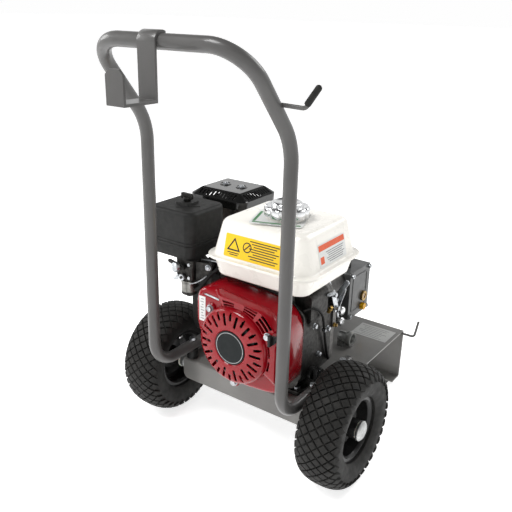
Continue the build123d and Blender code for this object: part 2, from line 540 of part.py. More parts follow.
def lever(pivot, reach, width, thick, boss, direction):
    """A flat control lever on a round boss, lying along direction in degrees about Y."""
    x, y, z = pivot
    arm = Pos(reach / 2, 0, 0) * Box(reach, thick, width) + Pos(reach, 0, 0) * Rot(90, 0, 0) * Cylinder(
        width / 2, thick)
    hub = Rot(90, 0, 0) * Cylinder(boss, thick + 3) - Rot(90, 0, 0) * Cylinder(PIN_R + RUN, thick + 9)
    return Pos(x, y, z) * Rot(0, -direction, 0) * (arm - Rot(90, 0, 0) * Cylinder(boss, 20) + hub)


def choke_lever():
    return lever((INTAKE[0], INTAKE[1] - 20.5, CHOKE_Z), 30, 7, 3, 6, 170)


def fuel_tap_lever():
    return lever((INTAKE[0], INTAKE[1] - 20.5, TAP_Z), 20, 6, 3, 6, 200)


def throttle_lever():
    return lever((LEVER_X, BLOCK_BACK + 16.5, THROTTLE_Z), 46, 9, 3, 8, 60)


def governor_arm():
    return lever((LEVER_X, BLOCK_BACK + 23, GOVERNOR_Z), 58, 8, 2.4, 7, 75)


def dipstick():
    """Screw-in oil filler plug with its measuring blade."""
    x, y, z = ENGINE_X + 88, 40, TRAY_TOP + 30
    plug = rod_x(8.6, x - 14, x, y, z) + rod_x(13, x + 0.3, x + 8, y, z) + rod_x(8.6, x, x + 1, y, z)
    return plug + box(x + 8, x + 17, y - 2.5, y + 2.5, z - 11, z + 11)


def engine_bolts():
    return group([through_bolt(x, y, DECK, TRAY_TOP - SHEET)
                  for x in (ENGINE_X - BOLT_X, ENGINE_X + BOLT_X) for y in BOLT_Y])


def muffler():
    """Pressed silencer can on its elbow from the exhaust port, with a short tail pipe."""
    can = rounded_block(MUFFLER_X, MUFFLER_Y, MUFFLER_W, MUFFLER_D, MUFFLER_BOTTOM, MUFFLER_TOP, 22)
    can = fillet(can.faces().sort_by(Axis.Z)[-1].edges() + can.faces().sort_by(Axis.Z)[0].edges(), 9)
    port_y, far = MUFFLER_Y - MUFFLER_D / 2 + 19, MUFFLER_Y + MUFFLER_D / 2
    can += rod_z(PORT_R, PORT_Z, MUFFLER_BOTTOM + 4, PORT_X, port_y)
    can += rod_y(PORT_R, CYLINDER_Y + 49, port_y + 4, PORT_X, PORT_Z)
    tail_x, tail_z = MUFFLER_X + 20, MUFFLER_BOTTOM + 30
    can += rod_y(TAIL_R, far - 6, far + 14, tail_x, tail_z)
    return can - rod_y(TAIL_R - 2, far + 2, far + 15, tail_x, tail_z)


def heat_shield():
    """Sloping louvred guard over the silencer: skirt, slotted slopes and flat top."""
    ridge, low = SHIELD_RIDGE, SHIELD_RIDGE - 0.8
    skirt = rounded_block(MUFFLER_X, MUFFLER_Y, SHIELD_W, SHIELD_D, SHIELD_BOTTOM, ridge, 20)
    crown = rounded_block(MUFFLER_X, MUFFLER_Y, SHIELD_W, SHIELD_D, ridge, SHIELD_TOP, 20, SHIELD_SLOPE)
    wide, deep = SHIELD_W - 2 * SHIELD_SHEET, SHIELD_D - 2 * SHIELD_SHEET
    inner = rounded_block(MUFFLER_X, MUFFLER_Y, wide, deep, SHIELD_BOTTOM, low, 18)
    under = SHIELD_TOP - SHIELD_SHEET
    inner += rounded_block(MUFFLER_X, MUFFLER_Y, wide, deep, low, under, 18, SHIELD_SLOPE)
    guard = skirt + crown - inner
    slots, middle = 11, (SHIELD_RIDGE + SHIELD_TOP) / 2
    for side in range(4):
        span, across = (SHIELD_D, SHIELD_W) if side % 2 else (SHIELD_W, SHIELD_D)
        for slot in range(slots):
            along = (slot / (slots - 1) - 0.5) * (span - 52)
            cutter = Pos(along, 11 - across / 2, middle) * Box(3.4, 13, 16)
            guard -= Pos(MUFFLER_X, MUFFLER_Y, 0) * Rot(0, 0, 90 * side) * cutter
    post_top = SHIELD_TOP - SHIELD_SHEET / 2
    return guard + group([rod_z(6, MUFFLER_TOP, post_top, MUFFLER_X + dx, MUFFLER_Y) for dx in (-20, 20)])


# ---- pump ----

def pump_adaptor():
    """Bell housing between the engine's end flange and the pump."""
    bell = rod_y(FLANGE_R, PTO_FACE, PTO_FACE + 8, ENGINE_X, SHAFT_Z)
    bell += Pos(ENGINE_X, PTO_FACE + 8, SHAFT_Z) * Rot(-90, 0, 0) * Cone(
        FLANGE_R - 6, BELL_R, 30, align=(Align.CENTER, Align.CENTER, Align.MIN))
    bell += rod_y(BELL_R, PTO_FACE + 38, PUMP_REAR, ENGINE_X, SHAFT_Z)
    bell -= rod_y(BELL_R - 8, PTO_FACE + 6, PUMP_REAR, ENGINE_X, SHAFT_Z)
    return bell - rod_y(SHAFT_R + 4, PTO_FACE - 1, PTO_FACE + 7, ENGINE_X, SHAFT_Z)


def pump_shaft():
    """Hollow drive shaft keyed on the engine shaft, with two eccentrics for the plungers."""
    shaft = rod_y(PUMP_SHAFT_R, PTO_FACE + 12, PUMP_FRONT - 9, ENGINE_X, SHAFT_Z)
    for number, lift in enumerate((ECCENTRIC_LIFT, -ECCENTRIC_LIFT, ECCENTRIC_LIFT)):
        y = PUMP_REAR + 18 + 18 * number
        shaft += rod_y(ECCENTRIC_R, y, y + 12, ENGINE_X, SHAFT_Z + lift)
    return shaft - rod_y(SHAFT_R, PTO_FACE + 10, SHAFT_END, ENGINE_X, SHAFT_Z)


def pump_crankcase():
    case = box(PUMP_LEFT, PUMP_RIGHT, PUMP_REAR, PUMP_FRONT, PUMP_BOTTOM, PUMP_TOP)
    case = fillet(case.edges().filter_by(Axis.X), 5)
    case -= box(PUMP_LEFT + PUMP_WALL, PUMP_RIGHT, PUMP_REAR + PUMP_WALL, PUMP_FRONT - PUMP_WALL,
                PUMP_BOTTOM + PUMP_WALL, PUMP_TOP - 6)
    case -= rod_y(PUMP_SHAFT_R + RUN, PUMP_REAR - 1, PUMP_REAR + 9, ENGINE_X, SHAFT_Z)
    return case - rod_z(6, PUMP_TOP - 8, PUMP_TOP + 1, *OIL_PORT)


def pump_side_cover():
    cover = box(PUMP_RIGHT, PUMP_RIGHT + COVER_T, PUMP_REAR, PUMP_FRONT, PUMP_BOTTOM, PUMP_TOP)
    cover = fillet(cover.edges().filter_by(Axis.X), 5)
    for y, z, radius in ((SIGHT[0], SIGHT[1], 8), (DRAIN[0], DRAIN[1], 6)):
        cover -= rod_x(radius, PUMP_RIGHT - 1, PUMP_RIGHT + 6, y, z)
    return cover


def cover_screws():
    screws = []
    for y in (PUMP_REAR + 7, PUMP_FRONT - 7):
        for z in (PUMP_BOTTOM + 7, PUMP_TOP - 7):
            face = PUMP_RIGHT + COVER_T
            screws.append(rod_x(4.5, face, face + 5, y, z) - rod_x(2.2, face + 2, face + 6, y, z))
    return group(screws)


def sight_glass():
    face = PUMP_RIGHT + COVER_T
    return (rod_x(8, PUMP_RIGHT, face + 1, *SIGHT) + rod_x(11, face, face + 5, *SIGHT)
            - rod_x(6, face + 3, face + 6, *SIGHT))


def drain_plug():
    face = PUMP_RIGHT + COVER_T
    head = Pos(face, *DRAIN) * Rot(0, 90, 0) * extrude(RegularPolygon(8.5, 6), 8)
    return head + rod_x(6, PUMP_RIGHT, face, *DRAIN)


def pump_oil_cap():
    x, y = OIL_PORT
    z = PUMP_TOP + 0.3
    cap = rod_z(10.5, z, z + 17, x, y)
    for rib in range(16):
        cap -= Pos(x, y, z + 8) * Rot(0, 0, 22.5 * rib) * Pos(10.8, 0, 0) * Cylinder(1.1, 13)
    return cap + rod_z(5.7, PUMP_TOP - 8, z, x, y)


def pump_head():
    """Brass manifold on the left side of the crankcase."""
    block = box(PUMP_LEFT - MANIFOLD_W, PUMP_LEFT, PUMP_REAR + 4, PUMP_FRONT - 4, MANIFOLD_LOW, MANIFOLD_TOP)
    block = fillet(block.edges().filter_by(Axis.Y), 6)
    return block - rod_y(8, PUMP_REAR, PUMP_REAR + 24, PUMP_LEFT - 44, MANIFOLD_LOW + 18)


def valve_caps():
    caps = []
    for y in (PUMP_REAR + 20 + VALVE_PITCH * n for n in range(3)):
        caps.append(hex_z(VALVE_HEX_R, MANIFOLD_TOP, MANIFOLD_TOP + VALVE_CAP_H, PUMP_LEFT - 22, y))
        face = Pos(PUMP_LEFT - MANIFOLD_W, y, MANIFOLD_TOP - 30) * Rot(0, -90, 0)
        caps.append(face * extrude(RegularPolygon(VALVE_HEX_R, 6), VALVE_CAP_H))
    return group(caps)


def unloader():
    """Pressure regulating valve standing on the manifold."""
    x, y = UNLOADER
    nut = MANIFOLD_TOP + VALVE_CAP_H
    return rod_z(13, MANIFOLD_TOP, UNLOADER_TOP, x, y) + hex_z(15, nut, nut + 10, x, y)


def unloader_knob():
    x, y = UNLOADER
    knob = rod_z(16, UNLOADER_TOP + 0.3, UNLOADER_TOP + 20, x, y)
    for rib in range(12):
        knob -= Pos(x, y, UNLOADER_TOP + 10) * Rot(0, 0, 30 * rib) * Pos(17, 0, 0) * Cylinder(2.2, 24)
    return knob


def outlet_fitting():
    """Brass block with two capped pressure outlets, screwed to the bell housing."""
    block = box(38, 60, OUTLET_Y - 8, OUTLET_Y + 8, 172, 222)
    block -= rod_y(BELL_R, OUTLET_Y - 9, OUTLET_Y + 9, ENGINE_X, SHAFT_Z)
    for z in OUTLET_Z:
        cap = rod_x(9.5, 63, 77, OUTLET_Y, z)
        block += rod_x(7, 60, 63, OUTLET_Y, z) + fillet(cap.edges().group_by(Axis.X)[-1], 5)
    return block


def inlet_coupling():
    """Claw coupling for the supply hose, cast with its foot on the tray."""
    z = TRAY_TOP + 17
    coupling = rod_x(15, 84, 96, INLET_Y, z) + rod_x(11, 66, 84, INLET_Y, z)
    coupling += box(68, 80, INLET_Y - 14, INLET_Y + 14, TRAY_TOP, TRAY_TOP + 12)
    return coupling - rod_x(8, 70, 97, INLET_Y, z) - rod_x(11, 86, 97, INLET_Y, z)


def build_parts():
    """Every sub-part by its name, drawn about the axle."""
    plain = [handle_frame, lance_cradle, storage_hooks, tray, foot_pads, rail_mounts, rail_bolts,
             axle, wheel_retainers,
             engine_block, side_cover, main_bearings, engine_bolts, dipstick,
             cylinder_head, valve_cover, spark_plug, plug_cap,
             crankshaft, flywheel, fan_shroud, recoil_cover, starter_reel, starter_grip, engine_switch,
             tank_upper, tank_lower, fuel_cap, fuel_cap_gasket,
             air_cleaner_base, air_cleaner_cover, air_filter, air_cleaner_nut,
             carburettor, choke_lever, fuel_tap_lever, throttle_lever, governor_arm,
             muffler, heat_shield,
             pump_adaptor, pump_shaft, pump_crankcase, pump_side_cover, cover_screws, sight_glass,
             drain_plug, pump_oil_cap, pump_head, valve_caps, unloader, unloader_knob,
             outlet_fitting, inlet_coupling]
    parts = {make.__name__: make() for make in plain}
    for side, name in ((-1, "left"), (1, "right")):
        for make in (tyre, rim, wheel_bushes):
            parts[f"{make.__name__}_{name}"] = make(side)
    return parts


os.makedirs("parts", exist_ok=True)
for name, part in build_parts().items():
    export_step(Pos(0, -CENTRE_Y, 0) * part, f"parts/{name}.step")
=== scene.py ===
import math

import bmesh
import bpy
from mathutils import Matrix, Vector


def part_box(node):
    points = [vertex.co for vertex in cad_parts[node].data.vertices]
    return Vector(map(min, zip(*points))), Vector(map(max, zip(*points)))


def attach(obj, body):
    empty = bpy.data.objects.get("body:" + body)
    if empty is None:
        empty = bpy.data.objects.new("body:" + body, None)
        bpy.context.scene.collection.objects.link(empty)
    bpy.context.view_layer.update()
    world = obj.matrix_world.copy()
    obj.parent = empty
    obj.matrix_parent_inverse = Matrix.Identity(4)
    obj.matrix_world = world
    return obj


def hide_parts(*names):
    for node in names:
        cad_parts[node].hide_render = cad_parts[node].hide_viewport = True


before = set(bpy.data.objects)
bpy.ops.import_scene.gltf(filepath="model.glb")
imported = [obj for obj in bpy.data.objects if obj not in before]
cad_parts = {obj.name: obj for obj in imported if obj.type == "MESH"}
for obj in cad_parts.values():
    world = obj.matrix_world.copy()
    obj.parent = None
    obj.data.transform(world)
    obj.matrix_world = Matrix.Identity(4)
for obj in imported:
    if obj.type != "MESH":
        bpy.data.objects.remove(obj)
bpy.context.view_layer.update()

# ---- Camera, studio and floor ----
# The machine stands on pale paper under soft lamps. The eye is at the operator's right shoulder,
# behind the handle and a little above the top bar, and the lens takes in the whole cart.
LENS_MM, SENSOR_MM = 45.5, 36.0
AZIMUTH, ELEVATION, ROLL = (math.radians(angle) for angle in (34.926, 21.0, 1.45))
EYE = Vector((0.6077, -0.8993, 0.7786))

back = Vector((math.sin(AZIMUTH) * math.cos(ELEVATION), -math.cos(AZIMUTH) * math.cos(ELEVATION),
               math.sin(ELEVATION)))
level = Vector((math.cos(AZIMUTH), math.sin(AZIMUTH), 0))
right = math.cos(ROLL) * level + math.sin(ROLL) * back.cross(level)
camera = bpy.data.objects.new("camera", bpy.data.cameras.new("camera"))
camera.data.lens, camera.data.sensor_width, camera.data.clip_start = LENS_MM, SENSOR_MM, 0.05
turn = Matrix((right, back.cross(right), back)).transposed()
camera.matrix_world = Matrix.Translation(EYE) @ turn.to_4x4()
bpy.context.collection.objects.link(camera)
bpy.context.scene.camera = camera


def linear(code):
    """An sRGB hex colour as linear red, green, blue and alpha."""
    channels = [int(code[i:i + 2], 16) / 255 for i in (1, 3, 5)]
    return [c / 12.92 if c <= 0.04045 else ((c + 0.055) / 1.055) ** 2.4 for c in channels] + [1.0]


def feed(node, inputs):
    """Sets a node's inputs by name or number: a socket is linked, anything else is its value."""
    for key, value in inputs.items():
        if isinstance(value, bpy.types.NodeSocket):
            node.id_data.links.new(value, node.inputs[key])
        else:
            node.inputs[key].default_value = value


def add(tree, kind, inputs, **settings):
    """Adds one node with its settings and links."""
    node = tree.nodes.new(kind)
    for name, value in settings.items():
        setattr(node, name, value)
    feed(node, inputs)
    return node


def patches(tree, place, size, low, high):
    """Slow variation between two values, in patches about so many millimetres across."""
    noise = add(tree, "ShaderNodeTexNoise", {"Vector": place, "Scale": 1000 / size, "Detail": 5.0})
    return add(tree, "ShaderNodeMapRange", {"Value": noise.outputs[0], "From Min": 0.32, "From Max": 0.68,
                                            "To Min": low, "To Max": high}).outputs["Result"]


def grain(tree, place, size, depth):
    """A relief of grains about so many millimetres across and deep."""
    noise = add(tree, "ShaderNodeTexNoise", {"Vector": place, "Scale": 1000 / size, "Detail": 2.0})
    return add(tree, "ShaderNodeBump", {"Height": noise.outputs[0], "Distance": depth / 1000}).outputs[0]


def between(tree, amount, first, second):
    """Two sRGB hex colours mixed by an amount from 0 to 1."""
    return add(tree, "ShaderNodeMix", {0: amount, 6: linear(first), 7: linear(second)},
               data_type="RGBA").outputs[2]


def surface(name, first, second, cloud, roughness, relief, other=None, most=1):
    """A material of two sRGB hex colours in clouds so many millimetres across. Its roughness is
    one number or (patch size, lowest, highest), and its relief is (grain size, depth)."""
    material = bpy.data.materials.new(name)
    material.use_nodes = True
    tree = material.node_tree
    place = add(tree, "ShaderNodeTexCoord", {}).outputs["Object"]
    if isinstance(roughness, tuple):
        roughness = patches(tree, place, *roughness)
    feed(tree.nodes["Principled BSDF"], {
        "Base Color": between(tree, patches(tree, place, cloud, 0, most), first, second),
        "Roughness": roughness, "Normal": grain(tree, place, *relief), **(other or {})})
    return material


# Rolled studio paper: matt, with a faint fibre.
paper = surface("studio_paper", "#FAFAFA", "#FEFEFE", 600, 0.9, (2.0, 0.02),
                {"Emission Color": linear("#FFFFFF"), "Emission Strength": 0.66})
FLOOR_HALF = 40.0
corners = [(x * FLOOR_HALF, y * FLOOR_HALF, 0) for x, y in ((-1, -1), (1, -1), (1, 1), (-1, 1))]
floor_mesh = bpy.data.meshes.new("floor")
floor_mesh.from_pydata(corners, [], [(0, 1, 2, 3)])
floor_mesh.materials.append(paper)
floor = bpy.data.objects.new("floor", floor_mesh)
bpy.context.collection.objects.link(floor)

world = bpy.data.worlds.new("studio")
world.use_nodes = True
# The cyclorama is white round the horizon and darkens overhead, so that gloss shows contrast.
tree = world.node_tree
outward = add(tree, "ShaderNodeTexCoord", {}).outputs["Generated"]
upward = add(tree, "ShaderNodeSeparateXYZ", {"Vector": outward}).outputs["Z"]
glow = add(tree, "ShaderNodeMapRange", {"Value": upward, "From Min": 0.38, "From Max": 0.62, "To Min": 1.0,
                                        "To Max": 0.15})
feed(tree.nodes["Background"], {"Color": linear("#FEFEFE"), "Strength": glow.outputs["Result"]})
bpy.context.scene.world = world
bpy.context.scene.view_settings.view_transform = "Standard"


def lamp(name, origin, aim, size, watts):
    """A square soft box that shines from one point towards another."""
    light = bpy.data.lights.new(name, "AREA")
    light.size, light.energy = size, watts
    stand = bpy.data.objects.new(name, light)
    turned = (Vector(origin) - Vector(aim)).to_track_quat("Z", "Y").to_matrix()
    stand.matrix_world = Matrix.Translation(origin) @ turned.to_4x4()
    bpy.context.collection.objects.link(stand)


lamp("key_lamp", (-0.5, -1.2, 2.3), (0, 0, 0.3), 0.9, 42)
lamp("side_lamp", (-2.0, -0.6, 1.2), (0, 0, 0.4), 0.8, 14)
lamp("back_lamp", (0.9, 1.9, 2.0), (0, 0.1, 0.3), 1.2, 26)

# ---- Tray ----
# One sheet of 3 mm steel, folded down behind as a skirt and in front as a leg with a turned-in
# foot. It is stoved in the same grey gloss enamel as the tube, and dust settles on its top. Its
# copy of the enamel is paler than the tube's: painted light.


def finish(material, edge, *nodes):
    """Coats CAD nodes, and rounds their sharp edges by so many millimetres."""
    for node in nodes:
        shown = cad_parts[node]
        shown.data.materials.clear()
        shown.data.materials.append(material)
        if edge:
            welded = shown.modifiers.new("joined_edges", "WELD")
            welded.merge_threshold = 0.00001
            rounded = shown.modifiers.new("rounded_edges", "BEVEL")
            rounded.width, rounded.segments = edge / 1000, 2
            rounded.limit_method, rounded.angle_limit = "ANGLE", math.radians(35)
            rounded.harden_normals = True


def enamel(name, colour, dusty, roughness, coat, level=0.4):
    """Stoved gloss enamel on steel: orange peel of about 2 mm, a clear coat and faint dust."""
    return surface(name, colour, dusty, 60, (25, roughness - 0.05, roughness + 0.08), (2.4, 0.02),
                   {"IOR": 1.5, "Specular IOR Level": level, "Coat Weight": coat, "Coat Roughness": 0.06})


grey_enamel = enamel("grey_stoved_enamel", "#494847", "#504F4E", 0.36, 0.25, level=0.3)
# The tray's enamel is a paler copy of the tube's grey: painted light.
finish(enamel("scuffed_grey_enamel", "#6B6A68", "#767572", 0.4, 0.2, level=0.3), 0.4, "tray")

# ---- Feet, rubber mounts and bolts ----
# Black moulded rubber blocks under the front leg, four rubber bobbins that carry the tube, and
# bright zinc-plated hexagon bolts through them.


def rubber(name, colour, dusty, roughness, size=1.2, depth=0.04):
    """Vulcanised rubber: matt black with a fine moulded grain and pale dust in patches."""
    return surface(name, colour, dusty, 9, (14, roughness - 0.08, roughness + 0.08), (size, depth),
                   {"IOR": 1.52, "Specular IOR Level": 0.22})


def plated(name, colour, stained, roughness, size=0.8, depth=0.01):
    """Bare or plated metal: full metal, slightly clouded, with a fine drawn or blasted grain."""
    return surface(name, colour, stained, 7, (4, roughness - 0.07, roughness + 0.1), (size, depth),
                   {"Metallic": 1.0})


black_rubber = rubber("black_rubber", "#121212", "#1E1E1C", 0.6)
zinc = plated("bright_zinc_plate", "#C9CCD0", "#A3A6A8", 0.32)
finish(black_rubber, 1.2, "foot_pads")
finish(black_rubber, 0.8, "rail_mounts")
finish(zinc, 0.4, "rail_bolts")

# ---- Axle and wheel retainers ----
# A plated steel bar welded through both tray plates, collars inside the wheels and domed caps
# pressed over the ends outside them.
finish(zinc, 0.5, "axle")
finish(plated("dull_zinc_cap", "#BDBEBD", "#9FA09F", 0.42), 0.4, "wheel_retainers")

# ---- Wheel centres ----
# Pressed steel rims with a tube hub, dipped in black semi-gloss enamel, and white nylon bushes
# pushed into the hub ends.
rim_enamel = enamel("black_dipped_enamel", "#0D0D0D", "#151514", 0.36, 0.15, level=0.25)
nylon = surface("white_nylon", "#D9D6CC", "#C8C4B8", 5, 0.45, (0.6, 0.01),
                {"IOR": 1.53, "Subsurface Weight": 0.1, "Subsurface Scale": 0.002})
finish(rim_enamel, 0.4, "rim_left", "rim_right")
finish(nylon, 0.2, "wheel_bushes_left", "wheel_bushes_right")

# ---- Tyres ----
# Pneumatic rubber tyres, vulcanised in a mould: smooth rounded walls with moulded rings, and a
# crown covered in diamond blocks that wrap over both shoulders.
TREAD_DEPTH, TREAD_ROWS, TREAD_AROUND, ROW_PITCH = 3.4, 4, 36, 9.6
MOULDED_RINGS = ((37.4, 0.3, 78.0), (31.2, 0.4, 66.0))
CROWN_SQUARENESS, WALL_RADIUS, BEAD_RADIUS = 2.5, 84.0, 57.0


def mm_box(node):
    """Lowest and highest corner of a CAD node, in millimetres."""
    low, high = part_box(node)
    return low * 1000, high * 1000


def middle_of(node):
    """The middle of a CAD node's box, in millimetres."""
    low, high = mm_box(node)
    return (low + high) / 2


def loft(rings, caps=(True, True)):
    """Skins closed rings of equally many points, given in millimetres, and caps the ends."""
    mesh = bmesh.new()
    rows = [[mesh.verts.new(point) for point in ring] for ring in rings]
    for row, following in zip(rows, rows[1:]):
        for i, corner in enumerate(row):
            j = (i + 1) % len(row)
            mesh.faces.new((corner, row[j], following[j], following[i]))
    for wanted, row in zip(caps, (rows[0], rows[-1])):
        if wanted:
            mesh.faces.new(row)
    bmesh.ops.remove_doubles(mesh, verts=mesh.verts, dist=0.0005)
    return mesh


def facing(origin, direction, over="Y"):
    """A frame at a point in millimetres whose Z lies along a direction."""
    turned = Vector(direction).to_track_quat("Z", over).to_matrix()
    return Matrix.Translation(origin) @ turned.to_4x4()


def lathe(profile, place, steps=64):
    """A turned shape from (height, radius) pairs about the Z axis of a frame."""
    angles = [2 * math.pi * i / steps for i in range(steps)]
    rings = [[place @ Vector((radius * math.cos(a), radius * math.sin(a), height)) for a in angles]
             for height, radius in profile]
    hollow = profile[0] == profile[-1]
    return loft(rings, caps=(not hollow and profile[0][1] > 0, not hollow and profile[-1][1] > 0))


def joined(meshes):
    """Several closed shapes as one mesh."""
    whole = meshes[0]
    for extra in meshes[1:]:
        copied = {v: whole.verts.new(v.co) for v in extra.verts}
        for face in extra.faces:
            whole.faces.new([copied[v] for v in face.verts]).material_index = face.material_index
        extra.free()
    return whole


def piece(name, mesh, coats, body="cart", stands_for=(), edge=0.0, crease=35, wall=0.0):
    """A finished piece from a shape in millimetres: coated, eased and fixed to its body."""
    bmesh.ops.recalc_face_normals(mesh, faces=mesh.faces)
    if wall:
        middle = sum((v.co for v in mesh.verts), Vector()) / len(mesh.verts)
        if sum((f.calc_center_median() - middle).dot(f.normal) * f.calc_area() for f in mesh.faces) < 0:
            bmesh.ops.reverse_faces(mesh, faces=mesh.faces)
    bmesh.ops.scale(mesh, vec=(0.001, 0.001, 0.001), verts=mesh.verts)
    data = bpy.data.meshes.new(name)
    mesh.to_mesh(data)
    mesh.free()
    for coat in coats if isinstance(coats, (list, tuple)) else [coats]:
        data.materials.append(coat)
    data.shade_smooth()
    data.set_sharp_from_angle(angle=math.radians(crease))
    made = bpy.data.objects.new(name, data)
    bpy.context.collection.objects.link(made)
    if wall:
        skin = made.modifiers.new("wall", "SOLIDIFY")
        skin.thickness, skin.offset = wall / 1000, -1
    if edge:
        eased = made.modifiers.new("eased_edges", "BEVEL")
        eased.width, eased.segments = edge / 1000, 2
        eased.limit_method, eased.angle_limit = "ANGLE", math.radians(40)
    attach(made, body)
    if stands_for:
        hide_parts(*stands_for)
    return made


def power(value, exponent):
    """A power that keeps the value's sign."""
    return math.copysign(abs(value) ** exponent, value)


def tyre_section(half, radius, count=160):
    """The outer cross-section from the right bead over the crown to the left, as (x, radius)."""
    points = []
    for i in range(count + 1):
        angle = math.pi * (0.5 - i / count) * 1.46
        across = half * power(math.sin(angle), 2 / CROWN_SQUARENESS)
        if math.cos(angle) >= 0:
            out = WALL_RADIUS + (radius - WALL_RADIUS) * math.cos(angle) ** (2 / CROWN_SQUARENESS)
        else:
            out = WALL_RADIUS - (WALL_RADIUS - BEAD_RADIUS) * 1.37 * (-math.cos(angle))
        points.append((across, out))
    return points


tyre_rubber = rubber("tyre_rubber", "#171716", "#252422", 0.66, size=0.9, depth=0.05)
for side in ("left", "right"):
    tyre_low, tyre_high = mm_box(f"tyre_{side}")
    centre = middle_of(f"tyre_{side}")
    crown = (tyre_high.z - tyre_low.z) / 2 - TREAD_DEPTH
    section = tyre_section((tyre_high.x - tyre_low.x) / 2 - 1, crown)
    beads = [(x, r) for x, r in section if r > BEAD_RADIUS + 1]
    inner = [(x * 0.84, r - 4 if r > WALL_RADIUS else r) for x, r in reversed(beads)]
    inner = [(x, max(min(r, crown - 5), BEAD_RADIUS)) for x, r in inner]
    axis = facing(centre, (1, 0, 0))
    shapes = [lathe(beads + inner + beads[:1], axis, 96)]
    for face in (-1, 1):
        for out, lift, radius in MOULDED_RINGS:
            ring = [(face * (out - 1.5), radius - 1.4), (face * (out + lift), radius - 0.6),
                    (face * (out + lift), radius + 0.6), (face * (out - 1.5), radius + 1.4)]
            shapes.append(lathe(ring + ring[:1], axis, 96))

    lengths, middle = [0.0], len(section) // 2
    for (x0, r0), (x1, r1) in zip(section[middle:], section[middle + 1:]):
        lengths.append(lengths[-1] + math.hypot(x1 - x0, r1 - r0))

    def on_tread(along, across, height):
        """A point on the crown: degrees round the wheel, millimetres across it, and above it."""
        i = min(next((k for k, length in enumerate(lengths) if length >= abs(across)), 1), len(lengths) - 2)
        i = max(i, 1)
        part = (abs(across) - lengths[i - 1]) / (lengths[i] - lengths[i - 1])
        (x0, r0), (x1, r1) = section[middle + i - 1], section[middle + i]
        normal = Vector((abs(r0 - r1), abs(x1 - x0))).normalized()
        x = math.copysign(abs(x0 + (x1 - x0) * part) + normal.x * height, across)
        r = r0 + (r1 - r0) * part + normal.y * height
        a = math.radians(along)
        return Vector((centre.x + x, centre.y + r * math.cos(a), centre.z + r * math.sin(a)))

    pitch = 360 / TREAD_AROUND
    blocks = bmesh.new()
    for row in range(-TREAD_ROWS, TREAD_ROWS + 1):
        for step in range(TREAD_AROUND):
            middle_angle = (step + 0.5 * (row % 2)) * pitch
            levels = []
            for height, share in ((-1.0, 0.9), (TREAD_DEPTH - 0.7, 0.84), (TREAD_DEPTH, 0.74)):
                levels.append([[blocks.verts.new(on_tread(middle_angle + (p + q) / 4 * pitch * share,
                                                          (row + (p - q) / 2 * share) * ROW_PITCH, height))
                                for q in (-1, 0, 1)] for p in (-1, 0, 1)])
            for grid in (levels[0], levels[-1]):
                for p in (0, 1):
                    for q in (0, 1):
                        blocks.faces.new((grid[p][q], grid[p + 1][q], grid[p + 1][q + 1], grid[p][q + 1]))
            round_edge = [(0, 0), (1, 0), (2, 0), (2, 1), (2, 2), (1, 2), (0, 2), (0, 1)]
            for lower, upper in zip(levels, levels[1:]):
                for (p, q), (s, t) in zip(round_edge, round_edge[1:] + round_edge[:1]):
                    blocks.faces.new((lower[p][q], lower[s][t], upper[s][t], upper[p][q]))
    piece(f"tyre_{side}_with_tread", joined(shapes + [blocks]), tyre_rubber, f"wheel_{side}",
          [f"tyre_{side}"], crease=32)

# ---- Handle frame, lance cradle and hooks ----
# One steel tube bent into a hoop and two rails, a strap hooked over its top bar for the lance,
# and two bent rods for the hose. All enamelled together; the upper rod has a rubber tip.
finish(grey_enamel, 0, "handle_frame")
finish(grey_enamel, 0.6, "lance_cradle")
finish(grey_enamel, 0, "storage_hooks")

frame_low, frame_high = mm_box("handle_frame")
RAIL_AXIS_IN, RAIL_ABOVE_MOUNTS = 10.65, 7.0
rail_z = mm_box("rail_mounts")[1].z + RAIL_ABOVE_MOUNTS
for side, sign in (("left", -1), ("right", 1)):
    end = Vector((sign * (frame_high.x - RAIL_AXIS_IN), frame_high.y, rail_z))
    plug = lathe([(-9, 8.0), (0, 8.0), (0, 10.4), (1.6, 10.4), (2.8, 9.4), (3.2, 0)], facing(end, (0, 1, 0)))
    piece(f"tube_end_plug_{side}", plug, black_rubber, edge=0.3)

# The rubber cap is a dipped sleeve over the upper rod's free end.
hooks_high = mm_box("storage_hooks")[1]
HOOK_LEAN, HOOK_FROM_BAR = Vector((19, 0, 27)).normalized(), 80.65
hook_end = Vector((hooks_high.x - 2.2, frame_low.y + HOOK_FROM_BAR, hooks_high.z + 0.6))
sleeve = lathe([(-30, 3.05), (-30, 4.3), (-28.5, 4.6), (-3, 4.4), (-1, 3.6), (0.4, 1.8), (0.7, 0)],
               facing(hook_end, HOOK_LEAN), 32)
piece("hook_sleeve", sleeve, black_rubber)

# ---- Engine block ----
# Die-cast aluminium crankcase in one piece with the slanting finned barrel. The casting is left
# bare and has a fine blasted skin, dull grey. The block and the parts round the carburettor take a
# darker copy of the grey: painted shade for the pockets behind the cowl.
cast_aluminium = plated("die_cast_aluminium", "#6F6E6C", "#565553", 0.5, size=1.1, depth=0.02)
# A darker copy of the die-cast grey: painted shade.
casting_with_painted_shade = plated("sooted_casting", "#474644", "#2E2D2C", 0.5, size=1.3, depth=0.02)
finish(casting_with_painted_shade, 0.6, "engine_block")
finish(cast_aluminium, 0.5, "side_cover", "cylinder_head", "valve_cover")
finish(zinc, 0.4, "engine_bolts")
machined_steel = plated("machined_steel", "#9A9B9C", "#7F8081", 0.3)
finish(machined_steel, 0.2, "main_bearings", "crankshaft", "pump_shaft", "spark_plug")

# ---- Flywheel and starter reel ----
# Grey iron flywheel with cast cooling vanes, blacked against rust, and a black nylon rope reel.
# Both are only seen through the cover's slots.
black_iron = plated("blacked_cast_iron", "#1A1A1A", "#262524", 0.6, size=1.0, depth=0.05)


def moulding(name, colour, worn, roughness, size=0.5, depth=0.02, level=0.24):
    """Injection-moulded plastic: a fine spark-eroded grain and slightly paler rubbed patches."""
    return surface(name, colour, worn, 12, (8, roughness - 0.05, roughness + 0.06), (size, depth),
                   {"IOR": 1.5, "Specular IOR Level": level})


